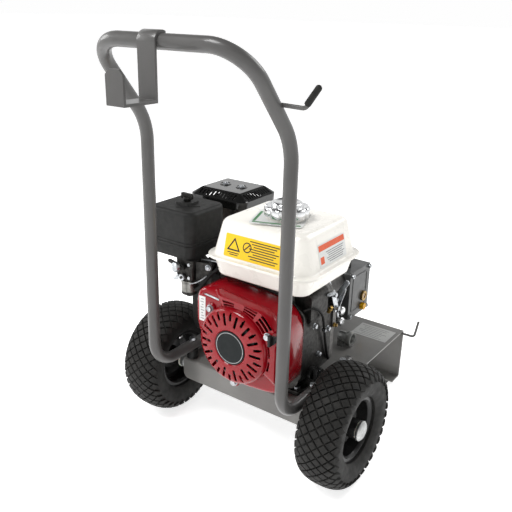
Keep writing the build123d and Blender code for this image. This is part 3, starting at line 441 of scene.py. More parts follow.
black_plastic = moulding("black_moulded_plastic", "#101010", "#181817", 0.38)
finish(black_iron, 0, "flywheel")
finish(black_plastic, 0, "starter_reel")

# ---- Fan shroud ----
# Deep-drawn steel cowl over the flywheel, with a wide rounded front edge, a raised scroll round
# the starter and cooling slots, stoved in bright red gloss enamel.
red_enamel = enamel("red_stoved_enamel", "#840310", "#8B0614", 0.19, 0.35, level=0.2)
SCROLL_R, EDGE_R, SHEET_MM, OUTLINE_STEPS = 80.0, 9.0, 2.0, 240
shroud_low, shroud_high = mm_box("fan_shroud")
reel_middle = middle_of("starter_reel")
shaft = Vector((reel_middle.x, shroud_low.y, reel_middle.z))
cowl_left, cowl_right, cowl_top, cowl_foot = shroud_low.x, shroud_high.x, shroud_high.z, shaft.z - 84
cowl_corners = [(shaft.x - 62, shaft.z - 34), (cowl_left, shaft.z + 2), (cowl_left, cowl_top),
                (cowl_right - 28, cowl_top - 12), (cowl_right, cowl_top - 38), (cowl_right, cowl_foot + 8),
                (shaft.x, cowl_foot)]
SLOT_X, SLOT_DROP, SLOT_TILT = -44.0, 17.0, -6.0


def ray_length(corners, centre, angle):
    """How far a ray runs in the XZ plane from a centre before it leaves a closed outline."""
    dx, dz, found = math.cos(angle), math.sin(angle), 0.0
    for (x0, z0), (x1, z1) in zip(corners, corners[1:] + corners[:1]):
        ex, ez = x1 - x0, z1 - z0
        cross = dx * ez - dz * ex
        if abs(cross) > 1e-9:
            along = ((x0 - centre.x) * ez - (z0 - centre.z) * ex) / cross
            share = ((x0 - centre.x) * dz - (z0 - centre.z) * dx) / cross
            if along > 0 and 0 <= share <= 1:
                found = max(found, along)
    return found


def softened(points, passes):
    """A closed outline with its corners rounded by averaging neighbours."""
    for _ in range(passes):
        points = [(points[i - 1] + 2 * point + points[(i + 1) % len(points)]) / 4
                  for i, point in enumerate(points)]
    return points


def inset(points, distance):
    """A closed counter-clockwise outline drawn in by a distance."""
    moved = []
    for i, point in enumerate(points):
        run = (points[(i + 1) % len(points)] - points[i - 1]).normalized()
        moved.append(point + distance * Vector((-run.y, run.x)))
    return moved


def circle(centre, radius, steps=48):
    """A circle, as an outline."""
    return [Vector((centre[0] + radius * math.cos(2 * math.pi * i / steps),
                    centre[1] + radius * math.sin(2 * math.pi * i / steps))) for i in range(steps)]


def stadium(centre, length, width, degrees):
    """A slot with round ends, its middle at the centre and its length at an angle."""
    turn, half, end = math.radians(degrees), (length - width) / 2, width / 2
    points = []
    for side in (1, -1):
        for step in range(7):
            angle = math.radians(-90 + 30 * step)
            points.append(Vector((side * (half + end * math.cos(angle)), side * end * math.sin(angle))))
    return [Vector((centre[0] + p.x * math.cos(turn) - p.y * math.sin(turn),
                    centre[1] + p.x * math.sin(turn) + p.y * math.cos(turn))) for p in points]


outline = []
for i in range(OUTLINE_STEPS):
    angle = 2 * math.pi * i / OUTLINE_STEPS
    reach = max(ray_length(cowl_corners, shaft, angle), SCROLL_R)
    outline.append(Vector((shaft.x + reach * math.cos(angle), shaft.z + reach * math.sin(angle))))
outline = softened(outline, 60)


def filled(mesh, loops, place, height):
    """Adds the flat area between a first loop and the holes after it, at a height over a frame."""
    rows, edges = [], []
    for loop in loops:
        corners = [mesh.verts.new(place @ Vector((p[0], p[1], height))) for p in loop]
        rows.append(corners)
        edges += [mesh.edges.new(pair) for pair in zip(corners, corners[1:] + corners[:1])]
    bmesh.ops.triangle_fill(mesh, use_beauty=True, use_dissolve=False, edges=edges)
    return rows


def plate(loops, depth, place):
    """A flat plate below a frame's XY plane; the first loop is its edge and the rest are holes."""
    mesh = bmesh.new()
    upper, lower = (filled(mesh, loops, place, height) for height in (0, -depth))
    for over, under in zip(upper, lower):
        for i, corner in enumerate(over):
            j = (i + 1) % len(over)
            mesh.faces.new((corner, over[j], under[j], under[i]))
    return mesh


front_frame = Matrix.Translation((0, shroud_low.y, 0)) @ Matrix.Rotation(math.pi / 2, 4, "X")
rings = [[Vector((p.x, shroud_high.y, p.y)) for p in outline]]
for step in range(7):
    angle = math.radians(15 * step)
    drawn = inset(outline, EDGE_R * (1 - math.cos(angle)))
    y = shroud_low.y + EDGE_R * (1 - math.sin(angle))
    rings.append([Vector((p.x, y, p.y)) for p in drawn])
cowl = loft(rings, caps=(False, False))
eye = []
for degrees in range(-178, 182, 3):
    reach = 94 if -24 < degrees < 108 else 60
    reach = min(reach, ray_length(cowl_corners, shaft, math.radians(degrees)) - EDGE_R - 6)
    eye.append(Vector((shaft.x + reach * math.cos(math.radians(degrees)),
                       shaft.z + reach * math.sin(math.radians(degrees)))))
front_loops = [inset(outline, EDGE_R), eye, stadium((SLOT_X, cowl_top - SLOT_DROP), 36, 5.5, SLOT_TILT)]
filled(cowl, front_loops, front_frame, 0)
bmesh.ops.remove_doubles(cowl, verts=cowl.verts, dist=0.01)
piece("fan_shroud_pressing", cowl, red_enamel, stands_for=["fan_shroud"], wall=SHEET_MM,
      edge=0.5)

# The raised scroll is a ring sector round the starter cover, lifted 12 mm, with rows of slots.
SCROLL_LIFT, SCROLL_STEP, SCROLL_START, SCROLL_END = 12.0, 2.5, -35.0, 120.0
SCROLL_ROWS = (71.5, 73.0, 79.0, 81.5, 87.5, 90.0, 96.0, 97.5, 99.0, 100.0)
# Each vent runs from a first degree to a last one, through some of the bands between those rows.
VENTS = ((57.0, 74.0, (1, 3, 5)), (35.0, 52.0, (1, 3, 5)), (88.0, 106.0, (1, 3)), (-2.0, 15.5, (1,)),
         (-22.0, -6.0, (1,)))


def cowl_reach(degrees):
    """How far the cowl's rounded outline lies from the shaft in a direction."""
    point = outline[round(degrees / 360 * OUTLINE_STEPS) % OUTLINE_STEPS]
    return math.hypot(point.x - shaft.x, point.y - shaft.z)


def scroll_point(degrees, radius):
    """A point of the scroll, which sinks into the cowl at both ends and at its outer edge."""
    fade = min(max((degrees - SCROLL_START) / 10, 0), 1) * min(max((SCROLL_END - degrees) / 12, 0), 1)
    slope = min(max((100.0 - radius) / 4.5, 0), 1)
    lift = SCROLL_LIFT * math.sin(fade * math.pi / 2) * math.sin(slope * math.pi / 2)
    limit = min(cowl_reach(degrees) + (4 if degrees > 30 else -6), SCROLL_ROWS[-1])
    share = (limit - SCROLL_ROWS[0]) / (SCROLL_ROWS[-1] - SCROLL_ROWS[0])
    reach = SCROLL_ROWS[0] + (radius - SCROLL_ROWS[0]) * share
    angle = math.radians(degrees)
    return Vector((shaft.x + reach * math.cos(angle), shaft.y - lift, shaft.z + reach * math.sin(angle)))


scroll = bmesh.new()
steps = int((SCROLL_END - SCROLL_START) / SCROLL_STEP)
columns = [SCROLL_START + SCROLL_STEP * i for i in range(steps + 1)]
grid = [[scroll.verts.new(scroll_point(column, row)) for row in SCROLL_ROWS] for column in columns]
for i, column in enumerate(columns[:-1]):
    for j in range(len(SCROLL_ROWS) - 1):
        if not any(first <= column + 0.1 < last and j in rows for first, last, rows in VENTS):
            scroll.faces.new((grid[i][j], grid[i + 1][j], grid[i + 1][j + 1], grid[i][j + 1]))
for row, depth in ((0, 1), (-1, EDGE_R)):
    wall = [scroll.verts.new(Vector((v[row].co.x, shaft.y + depth, v[row].co.z))) for v in grid]
    for i in range(len(columns) - 1):
        scroll.faces.new((grid[i][row], grid[i + 1][row], wall[i + 1], wall[i]))
piece("shroud_scroll", scroll, red_enamel, wall=1.6, edge=0.4, crease=50)

# ---- Starter cover ----
# A dished steel pressing over the rope reel, with long and short radial slots in turn, two
# fixing ears, three plated screws and a plain dark disc in its middle.
SLOTS, SLOT_HALF, DISC_R, DOME_R = 28, 2.5, 32.8, 70.5
LONG_SLOT, SHORT_SLOT = (41, 63.2), (51, 66)
cover_low, cover_high = mm_box("recoil_cover")
DISH = ((DISC_R - 1, 2.0), (DISC_R + 0.6, 0.3), (36, 0), (40, 0), (41, 0), (43, 0.2), (49, 0.6), (51, 0.8),
        (60, 1.6), (62, 2.2), (63.2, 2.8), (66, 4.2), (68.6, 6.6), (70, 9.5), (DOME_R, 13),
        (DOME_R + 1.2, cover_high.y - cover_low.y - 4))
# The slots' ends are rounded: their half width at a radius, as a share of SLOT_HALF.
SLOT_SHAPE = {41: 0.55, 63.2: 0.6, 66: 0.6}


def dish_point(radius, depth, degrees):
    """A point of the starter cover, so far from the shaft and behind the cover's face."""
    angle = math.radians(degrees)
    return Vector((shaft.x + radius * math.cos(angle), cover_low.y + depth,
                   shaft.z + radius * math.sin(angle)))


dome = bmesh.new()
sector = 360 / SLOTS
dish_rows = []
for radius, depth in DISH:
    ring = []
    for slot_number in range(SLOTS):
        half_angle = math.degrees(SLOT_HALF * SLOT_SHAPE.get(radius, 1.0) / max(radius, 30))
        for offset in (-half_angle, 0, half_angle, sector / 2):
            ring.append(dome.verts.new(dish_point(radius, depth, slot_number * sector + offset)))
    dish_rows.append(ring)
for row, (ring, outer) in enumerate(zip(dish_rows, dish_rows[1:])):
    for i in range(4 * SLOTS):
        start, end = LONG_SLOT if (i // 4) % 2 == 0 else SHORT_SLOT
        if not (i % 4 < 2 and DISH[row][0] >= start and DISH[row + 1][0] <= end):
            j = (i + 1) % (4 * SLOTS)
            dome.faces.new((ring[i], ring[j], outer[j], outer[i]))
dome.faces.new(dish_rows[0])
piece("starter_cover_pressing", dome, red_enamel, stands_for=["recoil_cover"], wall=1.6,
      edge=0.35)

disc_black = moulding("satin_black_lacquer", "#15191A", "#1B1F20", 0.5, level=0.15)
silver_ink = moulding("silver_ink", "#B9BABB", "#A7A8A9", 0.4)
disc_frame = facing((shaft.x, cover_low.y + 1.9, shaft.z), (0, -1, 0))
disc = lathe([(-0.4, DISC_R - 1.4), (0.8, DISC_R - 1.6), (1.4, DISC_R - 2.4), (1.4, 0)], disc_frame, 96)
piece("cover_disc", disc, disc_black)
ring_line = [(1.38, 28.4), (1.62, 28.4), (1.62, 27.5), (1.38, 27.5), (1.38, 28.4)]
piece("cover_disc_line", lathe(ring_line, disc_frame, 96), silver_ink)


def hexagon(across, height, place, washer=0.0):
    """A hexagon head with its corners turned off at 30 degrees, on a round washer if it has one."""
    corner, steps = across / math.sqrt(3), 36
    rings, base = [], 0.0
    if washer:
        rings += [[(washer / 2, 0.0)] * steps, [(washer / 2, 1.2)] * steps]
        base = 1.2
    flat = [min(across / 2 / math.cos(math.radians((360 / steps * i) % 60 - 30)), corner)
            for i in range(steps)]
    rings += [[(radius, base) for radius in flat], [(radius, base + height - 1.0) for radius in flat]]
    rings += [[(min(radius, across / 2 * 1.02), base + height - 0.3) for radius in flat],
              [(across / 2 * 0.9, base + height)] * steps]
    return loft([[place @ Vector((radius * math.cos(2 * math.pi * i / steps),
                                  radius * math.sin(2 * math.pi * i / steps), level))
                  for i, (radius, level) in enumerate(ring)] for ring in rings])


def screws(name, frames, across, height, washer=0.0):
    """Plated hexagon screws at several frames, as one piece."""
    heads = [hexagon(across, height, place, washer) for place in frames]
    return piece(name, joined(heads), zinc)


# One screw stands on the scroll, and the other two hold ears that lie on the cowl.
EAR_MM, ear_frames, screw_frames = 4.3, [], []
for degrees, radius, rise in ((30, 82, 13), (138, 77, EAR_MM), (268, 77, EAR_MM)):
    angle = math.radians(degrees)
    spot = Vector((shaft.x + radius * math.cos(angle), shaft.y, shaft.z + radius * math.sin(angle)))
    screw_frames.append(facing(spot + Vector((0, -rise, 0)), (0, -1, 0)))
    if rise == EAR_MM:
        ear_frames.append(facing(spot, (0, -1, 0)))
ears = [lathe([(0, 9), (3.5, 9), (EAR_MM, 8.2), (EAR_MM, 0)], place) for place in ear_frames]
piece("starter_cover_ears", joined(ears), red_enamel)
screws("starter_cover_screws", screw_frames, 10, 5, 14)

# A plated blade shows in the cowl's upper slot, and a plain printed film is stuck below it.
blade_outline = stadium((SLOT_X, cowl_top - SLOT_DROP - 0.4), 34, 3.4, SLOT_TILT)
blade = plate([blade_outline], 1.2, front_frame @ Matrix.Translation((0, 0, -0.6)))
piece("cowl_blade", blade, zinc, edge=0.3)


def film(name, colour, roughness=0.45):
    """Printed vinyl film: nearly flat colour with a slight ink mottle and a satin laminate."""
    faded = "#" + "".join(f"{int(int(colour[i:i + 2], 16) * 0.94):02X}" for i in (1, 3, 5))
    return surface(name, colour, faded, 3, (6, roughness - 0.06, roughness + 0.06), (1.0, 0.004),
                   {"IOR": 1.5}, most=0.7)


def panel(centre, width, height, radius=1.5, steps=5):
    """A rectangle with rounded corners, as an outline."""
    points = []
    for quarter, (sx, sy) in enumerate(((1, 1), (-1, 1), (-1, -1), (1, -1))):
        for step in range(steps):
            angle = math.radians(90 * quarter + 90 * step / (steps - 1))
            points.append(Vector((centre[0] + sx * (width / 2 - radius) + radius * math.cos(angle),
                                  centre[1] + sy * (height / 2 - radius) + radius * math.sin(angle))))
    return points


FILM_MM, INK_MM = 0.25, 0.1


def label(name, place, ground, loops, inks, ink_top=FILM_MM + INK_MM):
    """A film that lies on a frame's XY plane, and its printed shapes, each an ink and its loops."""
    coats = [ground] + sorted({ink for ink, _ in inks}, key=lambda ink: ink.name)
    parts = [plate(loops, FILM_MM, place @ Matrix.Translation((0, 0, FILM_MM)))]
    for ink, outlines in inks:
        mark = plate(outlines, INK_MM, place @ Matrix.Translation((0, 0, ink_top)))
        for face in mark.faces:
            face.material_index = coats.index(ink)
        parts.append(mark)
    return piece(name, joined(parts), coats)


white_film, grey_ink = film("white_film", "#DADBD9"), film("grey_ink", "#77797A")
bars = [(grey_ink, [panel((-64.5 + (i % 2), 258 + 5.4 * i), 8 - 2 * (i % 3), 1.4, 0.3)]) for i in range(8)]
label("cowl_film", front_frame, white_film, [panel((-64, 277), 14, 48, 1.0)], bars)

# ---- Engine switch and pull grip ----
# Black moulded plastic: a turn knob at the cowl's corner and a rounded T-grip on the starter rope.
finish(black_plastic, 0.3, "engine_switch", "starter_grip")
finish(moulding("dipstick_plastic", "#1A1A1A", "#222221", 0.4), 0.6, "dipstick")
finish(black_rubber, 0.5, "plug_cap")

# ---- Fuel tank ----
# Two deep-drawn steel halves seam-welded along a flange, stoved in off-white gloss enamel.
white_enamel = enamel("white_stoved_enamel", "#F1EEE7", "#ECE9E1", 0.28, 0.4)
LIP_MM, SHOULDER, CROWN_MM, FOOT_ROUND = 9.0, 16.0, 1.4, 7.0
UPPER_SLOPE, LOWER_SLOPE = math.radians(13), math.radians(14)
NECK_MM = 12.0
tank_low, tank_high = mm_box("tank_lower")[0], mm_box("tank_upper")[1]
tank_centre = middle_of("tank_lower")
tank_wide, tank_deep = tank_high.x - tank_low.x, tank_high.y - tank_low.y
seam, roof = mm_box("tank_upper")[0].z, tank_high.z - NECK_MM


def rounded_ring(centre, wide, deep, radius, z, steps=9):
    """A level rectangle with rounded corners, as the points of a ring."""
    return [Vector((p.x, p.y, z)) for p in panel((centre.x, centre.y), wide, deep, radius, steps)]


def tank_ring(drawn_in, z):
    """A level ring round the tank, drawn in from the flange's edge."""
    return rounded_ring(tank_centre, tank_wide - 2 * drawn_in, tank_deep - 2 * drawn_in,
                        max(34 - 0.7 * drawn_in, 12), z)


def wall_in(z, slope):
    """How far the tank's wall is drawn in from the flange at a height."""
    return LIP_MM + abs(z - seam) * math.tan(slope)


# The flange's rolled edge, as how far it is drawn in and its height from the seam.
ROLLED = ((5, 0), (0, 0.2), (0, 1.6), (0.7, 2.3))
rings = [tank_ring(drawn_in, seam + rise) for drawn_in, rise in ROLLED + ((6, 2.5), (8.3, 3.1))]
rings.append(tank_ring(wall_in(seam + 5, UPPER_SLOPE), seam + 5))
arc_start = roof - SHOULDER * (1 - math.sin(UPPER_SLOPE))
for share in (0.33, 0.66, 1.0):
    z = seam + 5 + (arc_start - seam - 5) * share
    rings.append(tank_ring(wall_in(z, UPPER_SLOPE), z))
arc_base = wall_in(arc_start, UPPER_SLOPE) - SHOULDER * (1 - math.cos(UPPER_SLOPE))
for step in range(1, 9):
    angle = UPPER_SLOPE + (math.pi / 2 - UPPER_SLOPE) * step / 8
    rings.append(tank_ring(arc_base + SHOULDER * (1 - math.cos(angle)),
                           roof - SHOULDER * (1 - math.sin(angle))))
for drawn_in, rise in ((arc_base + SHOULDER + 20, 0.7), (70, 1.2), (92, 1.4)):
    rings.append(tank_ring(drawn_in, roof + CROWN_MM * rise / 1.4))
neck_at = Vector((*middle_of("fuel_cap_gasket").xy, roof))
neck = lathe([(-6, 33), (0.8, 33), (2.4, 31), (3.4, 30), (NECK_MM, 30), (NECK_MM, 28), (-6, 28), (-6, 33)],
             Matrix.Translation(neck_at))
piece("tank_upper_pressing", joined([loft(rings), neck]), white_enamel,
      stands_for=["tank_upper"])

base = tank_low.z
rings = [tank_ring(drawn_in, seam - drop) for drawn_in, drop in ROLLED + ((6, 2.5), (8.5, 3.3))]
for z in (seam - 6, seam - 14, seam - 22, base + FOOT_ROUND):
    rings.append(tank_ring(wall_in(z, LOWER_SLOPE), z))
for step in range(1, 6):
    angle = math.pi / 2 * step / 5
    drawn_in = wall_in(base + FOOT_ROUND, LOWER_SLOPE) + FOOT_ROUND * (1 - math.cos(angle))
    rings.append(tank_ring(drawn_in, base + FOOT_ROUND * (1 - math.sin(angle))))
piece("tank_lower_pressing", loft(rings), white_enamel, stands_for=["tank_lower"])

# ---- Tank labels ----
# Printed vinyl on the tank's rear and right walls. Their signs are plain generic shapes and
# their wording is only rows of bars.


def on_wall(origin, across, up):
    """A frame on a wall from a point and its directions to the right and up."""
    across, up = Vector(across), Vector(up)
    turned = Matrix((across, up, across.cross(up))).transposed()
    return Matrix.Translation(origin) @ turned.to_4x4()


black_ink, orange_ink = film("black_ink", "#15171A"), film("orange_ink", "#D9541E")
LABEL_Z = 398.5
label_in, lean, rise = wall_in(LABEL_Z, UPPER_SLOPE), math.sin(UPPER_SLOPE), math.cos(UPPER_SLOPE)
rear_wall = on_wall((25.5, tank_low.y + label_in, LABEL_Z), (1, 0, 0), (0, lean, rise))
triangle = [Vector((-55, -8)), Vector((-27, -8)), Vector((-41, 15))]
inner = [Vector((-50.5, -5.4)), Vector((-31.5, -5.4)), Vector((-41, 10))]
bars = [[panel((-41 + 1.5 * (i % 2), -11.5 - 3.4 * i), 24 - 6 * i, 1.6, 0.4)] for i in range(2)]
bars += [[panel((20, 15 - 4.2 * i), 60 - 9 * (i % 3), 1.7, 0.4)] for i in range(8)]
signs = [[triangle, inner], [circle((-14, 3), 9), circle((-14, 3), 7)], [stadium((-14, 3), 15, 2.2, 45)]]
label("tank_rear_label", rear_wall, film("yellow_film", "#EDC10C"), [panel((0, 0), 121, 40, 2.0)],
      [(black_ink, loops) for loops in signs + bars])

right_wall = on_wall((tank_high.x - label_in, 13.5, LABEL_Z + 1), (0, 1, 0), (-lean, 0, rise))
signs = [(orange_ink, [panel((0, 13), 86, 10, 0.6)]), (orange_ink, [panel((-35, -8), 12, 12, 0.8)])]
signs += [(grey_ink, [panel((8 + (i % 2), 3 - 3.6 * i), 60 - 7 * (i % 3), 1.4, 0.4)]) for i in range(6)]
label("tank_right_label", right_wall, white_film, [panel((0, 0), 90, 40, 2.0)], signs)

# ---- Fuel cap ----
# A chromed steel pressing with a scalloped skirt and a raised middle, on a black ring gasket. A
# printed paper tag hangs round the neck under it.
chrome = plated("chrome_plate", "#DDDEDF", "#CFD0D1", 0.17, size=3.0, depth=0.004)
cap_low, cap_centre = mm_box("fuel_cap")[0], middle_of("fuel_cap")
LOBES, LOBE_DEPTH, CAP_STEPS, BORE_SHARE = 10, 3.4, 160, 0.79
# Each ring is a height, a radius and how much of the lobes' depth shows in it.
CAP_RINGS = ((0, 39.0, 1.0), (0.8, 39.8, 1.0), (12.0, 39.8, 1.0), (14.6, 38.9, 0.9), (16.3, 36.8, 0.7),
             (17.0, 33.8, 0.4), (16.8, 30.0, 0.1), (16.0, 28.0, 0), (17.0, 27.2, 0), (21.0, 26.6, 0),
             (22.8, 25.4, 0), (23.8, 23.2, 0), (24.0, 20.5, 0), (22.6, 18.6, 0), (22.2, 12, 0),
             (22.2, 0.4, 0))
rings = []
for height, radius, notched in CAP_RINGS:
    ring = []
    for i in range(CAP_STEPS):
        angle = 2 * math.pi * i / CAP_STEPS
        reach = radius - LOBE_DEPTH * notched * max(math.cos(LOBES * angle), 0) ** 3
        ring.append(Vector((cap_centre.x + reach * math.cos(angle), cap_centre.y + reach * math.sin(angle),
                            cap_low.z + height)))
    rings.append(ring)
inside = [[Vector((cap_centre.x + (p.x - cap_centre.x) * BORE_SHARE,
                   cap_centre.y + (p.y - cap_centre.y) * BORE_SHARE, z))
           for p in rings[0]] for z in (cap_low.z + 8, cap_low.z)]
piece("fuel_cap_pressing", loft(inside + rings), chrome, "fuel_cap", ["fuel_cap"], crease=50)
finish(black_rubber, 0, "fuel_cap_gasket")

green_ink = film("green_ink", "#2C7A3F")
tag_at = Matrix.Translation((neck_at.x - 7, neck_at.y - 9, roof + 2.0 - FILM_MM))
marks = [(green_ink, [panel((0, -33), 84, 5, 1)]), (green_ink, [panel((-40, 0), 5, 58, 1)])]
marks += [(grey_ink, [panel((20 * (i - 1), -39.5), 14, 1.6, 0.4)]) for i in range(3)]
label("paper_tag", tag_at @ Matrix.Rotation(0.35, 4, "Z"), white_film,
      [panel((0, 0), 92, 86, 6), circle((7, 9), 35)], marks, ink_top=FILM_MM + 0.12)

# ---- Air cleaner ----
# Moulded black plastic pan and cover round a foam element, a steel stud through both and a
# blackened nut. A bead runs round the joint and another above it.
matt_black = moulding("matt_black_moulded_plastic", "#171716", "#20201F", 0.55, size=0.8, depth=0.03,
                      level=0.25)
finish(matt_black, 0.6, "air_cleaner_base")
finish(matt_black, 0.8, "air_cleaner_cover")
finish(surface("oiled_foam", "#3B3A36", "#55534C", 4, 0.95, (1.5, 0.3)), 0, "air_filter")
finish(plated("blackened_steel", "#2C2C2B", "#3A3937", 0.35), 0.8, "air_cleaner_nut")
lid_low, lid_high = mm_box("air_cleaner_cover")
lid_centre = middle_of("air_cleaner_cover")


def bead(centre, wide, deep, radius, z, swell, half):
    """A rounded rib that runs level round a box with rounded corners."""
    profile = [(-1, half), (swell * 0.7, half * 0.7), (swell, 0), (swell * 0.7, -half * 0.7), (-1, -half)]
    profile += profile[:1]
    return loft([rounded_ring(centre, wide + 2 * out, deep + 2 * out, radius + out, z + up)
                 for out, up in profile], caps=(False, False))


ribs = [bead(lid_centre, lid_high.x - lid_low.x, lid_high.y - lid_low.y, 18, lid_low.z + rise, 1.1, 1.3)
        for rise in (0, 6)]
piece("air_cleaner_beads", joined(ribs), matt_black)
pad = plate([circle(lid_centre, 31, 4)], 1.2, Matrix.Translation((0, 0, lid_high.z - 3.9)))
piece("air_cleaner_pad", pad, matt_black, edge=1.0)

# ---- Carburettor ----
# Zinc die casting, coloured with the darker casting grey as painted shade, with a pressed float
# bowl, a brass drain screw, an idle stop with its knob, black choke lever and steel fuel tap lever.
brass = plated("machined_brass", "#9C8048", "#846A38", 0.34)
finish(casting_with_painted_shade, 0.4, "carburettor")
finish(black_plastic, 0.4, "choke_lever")
finish(zinc, 0.4, "fuel_tap_lever")
carb_low = mm_box("carburettor")[0]
bowl_at = Vector((carb_low.x + 20, carb_low.y + 25, carb_low.z))
bowl = lathe([(34, 16.8), (31, 16.8), (30, 16.2), (29, 15.4), (12, 15.2), (8.5, 13.8), (7, 10.5), (6.4, 0)],
             Matrix.Translation(bowl_at))
piece("float_bowl", bowl, plated("passivated_steel", "#8B8A86", "#74736F", 0.35))
drain = hexagon(9, 6, facing(bowl_at + Vector((0, 0, 7.5)), (0, 0, -1)))
knob = lathe([(-4, 3), (6, 3), (6, 8.5), (7, 9.4), (13, 9.4), (14.4, 8.2), (14.8, 0)],
             facing((carb_low.x + 12, carb_low.y + 8.5, carb_low.z + 62), (-0.25, -1, 0.1)), 40)
piece("bowl_drain_screw", drain, brass)
piece("idle_knob", knob, zinc, edge=0.3)
screws("carburettor_screws", [facing(carb_low + Vector((dx, 9, dz)), (0, -1, 0))
                              for dx, dz in ((6, 44), (34, 44), (34, 70))], 6, 3)


def wire(points, radius, turns=10):
    """A round bar or hose through points in millimetres, rounded between them."""
    curve = bpy.data.curves.new("route", "CURVE")
    curve.dimensions, curve.bevel_depth, curve.bevel_resolution = "3D", radius, 3
    curve.use_fill_caps, curve.resolution_u = True, turns
    spline = curve.splines.new("NURBS")
    spline.points.add(len(points) - 1)
    for slot, point in zip(spline.points, points):
        slot.co = (*point, 1)
    spline.use_endpoint_u, spline.order_u = True, 4
    holder = bpy.data.objects.new("route", curve)
    bpy.context.collection.objects.link(holder)
    shaped = holder.evaluated_get(bpy.context.evaluated_depsgraph_get()).to_mesh()
    mesh = bmesh.new()
    mesh.from_mesh(shaped)
    bpy.data.objects.remove(holder)
    bpy.data.curves.remove(curve)
    return mesh


# A moulded intake elbow, a stamped control plate, a bracket, the choke link and a cooling duct
# fill the space between the carburettor and the cowl.
elbow = wire([(-138, -48, 350), (-132, -30, 336), (-120, -24, 318), (-104, -22, 306), (-92, -12, 300)], 15)
piece("intake_elbow", elbow, matt_black)
plate_frame = on_wall((-104, -58, 322), (0.96, 0.28, 0), (0, 0, 1))
plate_loops = [panel((0, 0), 46, 40, 5), circle((-12, 8), 4, 20), circle((12, -9), 3, 20)]
control_plate = plate(plate_loops, 1.6, plate_frame)
# The control plate and the bracket take the darker casting grey: painted shade.
piece("control_plate", control_plate, casting_with_painted_shade, edge=0.3)
corners = [plate_frame @ Matrix.Translation((x, y, 0)) for x, y in ((16, 12), (-16, -12))]
screws("control_plate_screws", corners, 8, 4, 11)
bracket_frame = on_wall((-150, -52, 316), (0.8, -0.6, 0), (0, 0, 1))
bracket = plate([panel((0, 0), 34, 60, 6), circle((0, 14), 5, 24)], 2.0, bracket_frame)
piece("linkage_bracket", bracket, casting_with_painted_shade, edge=0.4)
link = wire([(-146, -62, 300), (-130, -72, 292), (-106, -66, 300), (-90, -56, 318)], 1.4)
piece("choke_link", link, zinc)
duct_frame = on_wall((-96, -34, 282), (0.9, -0.2, 0), (0.1, 0, 1))
cooling_duct = plate([panel((0, 0), 44, 70, 8)], 2.0, duct_frame)
piece("barrel_duct", cooling_duct, matt_black, edge=0.5)

# A black sheet steel guide under the finned barrel turns the fan's air upwards.
guide = loft([rounded_ring(Vector((-118, -27)), wide, deep, min(7, deep / 2 - 0.5), z) for wide, deep, z in
              ((36, 8, 188), (44, 12, 190), (50, 15, 198), (56, 16, 212), (58, 17, 282), (56, 15, 284))])
piece("barrel_air_guide", guide, matt_black)
guide_spots = [facing((x, -35, z), (0, -1, 0)) for x, z in ((-118, 258), (-92, 206))]
screws("air_guide_screws", guide_spots, 7, 3.5, 10)

# A fuel hose drops from the tank's left foot to the bowl. A bare rod crosses behind the cowl to
# the throttle.
fuel_hose = wire([(-60, -40, 342), (-78, -52, 330), (-96, -62, 300), (-104, -64, 290), (-114, -60, 286)], 3.6)
piece("fuel_hose", fuel_hose, black_rubber)
rod = wire([(-112, -44, 342), (-60, -34, 346), (20, -30, 334), (80, -18, 334)], 1.2)
piece("throttle_rod", rod, zinc)

# ---- Silencer and heat shield ----
# Pressed steel can, blued and sooty from the heat, under a louvred sheet steel guard in hard
# black gloss enamel, held down by two plated screws.
finish(plated("heat_blued_steel", "#4A433D", "#35312F", 0.5, size=1.5, depth=0.02), 0.4, "muffler")
shield_enamel = enamel("black_gloss_enamel", "#080808", "#0E0E0D", 0.14, 0.45, level=0.3)
finish(shield_enamel, 0.5, "heat_shield")
shield_centre, shield_top = middle_of("heat_shield"), mm_box("heat_shield")[1].z
spots = [Matrix.Translation((shield_centre.x + dx, shield_centre.y, shield_top)) for dx in (-20, 20)]
dishes = [lathe([(-0.5, 12), (1.3, 11.4), (1.5, 10.6), (0.4, 8.6), (0.3, 0)], spot) for spot in spots]
piece("shield_dishes", joined(dishes), shield_enamel)
screws("shield_screws", [spot @ Matrix.Translation((0, 0, 0.2)) for spot in spots], 9, 3.4, 13)

# ---- Speed controls ----
# Plated steel levers on pins at the engine's right rear, a strap bracket, the governor spring
# and its thin rods, and the black stop-switch cable that runs along the crankcase.
finish(zinc, 0.4, "throttle_lever")
finish(zinc, 0.3, "governor_arm")
strap_frame = on_wall((110, 71, 279), (0, 0.42, -0.91), (0, 0.91, 0.42))
strap = plate([panel((0, 0), 50, 13, 3), circle((-17, 0), 3, 20), circle((15, 0), 2, 20)], 2.0, strap_frame)
piece("control_strap", strap, zinc, edge=0.3)


def coil(start, end, radius, thickness, turns):
    """A close-wound pull spring between two points, with straight ends."""
    start, end = Vector(start), Vector(end)
    place = facing(start, end - start)
    length = (end - start).length
    route = [start]
    for i in range(turns * 10 + 1):
        angle = 2 * math.pi * i / 10
        route.append(place @ Vector((radius * math.cos(angle), radius * math.sin(angle),
                                     length * (0.15 + 0.7 * i / (turns * 10)))))
    return wire(route + [end], thickness, turns=2)


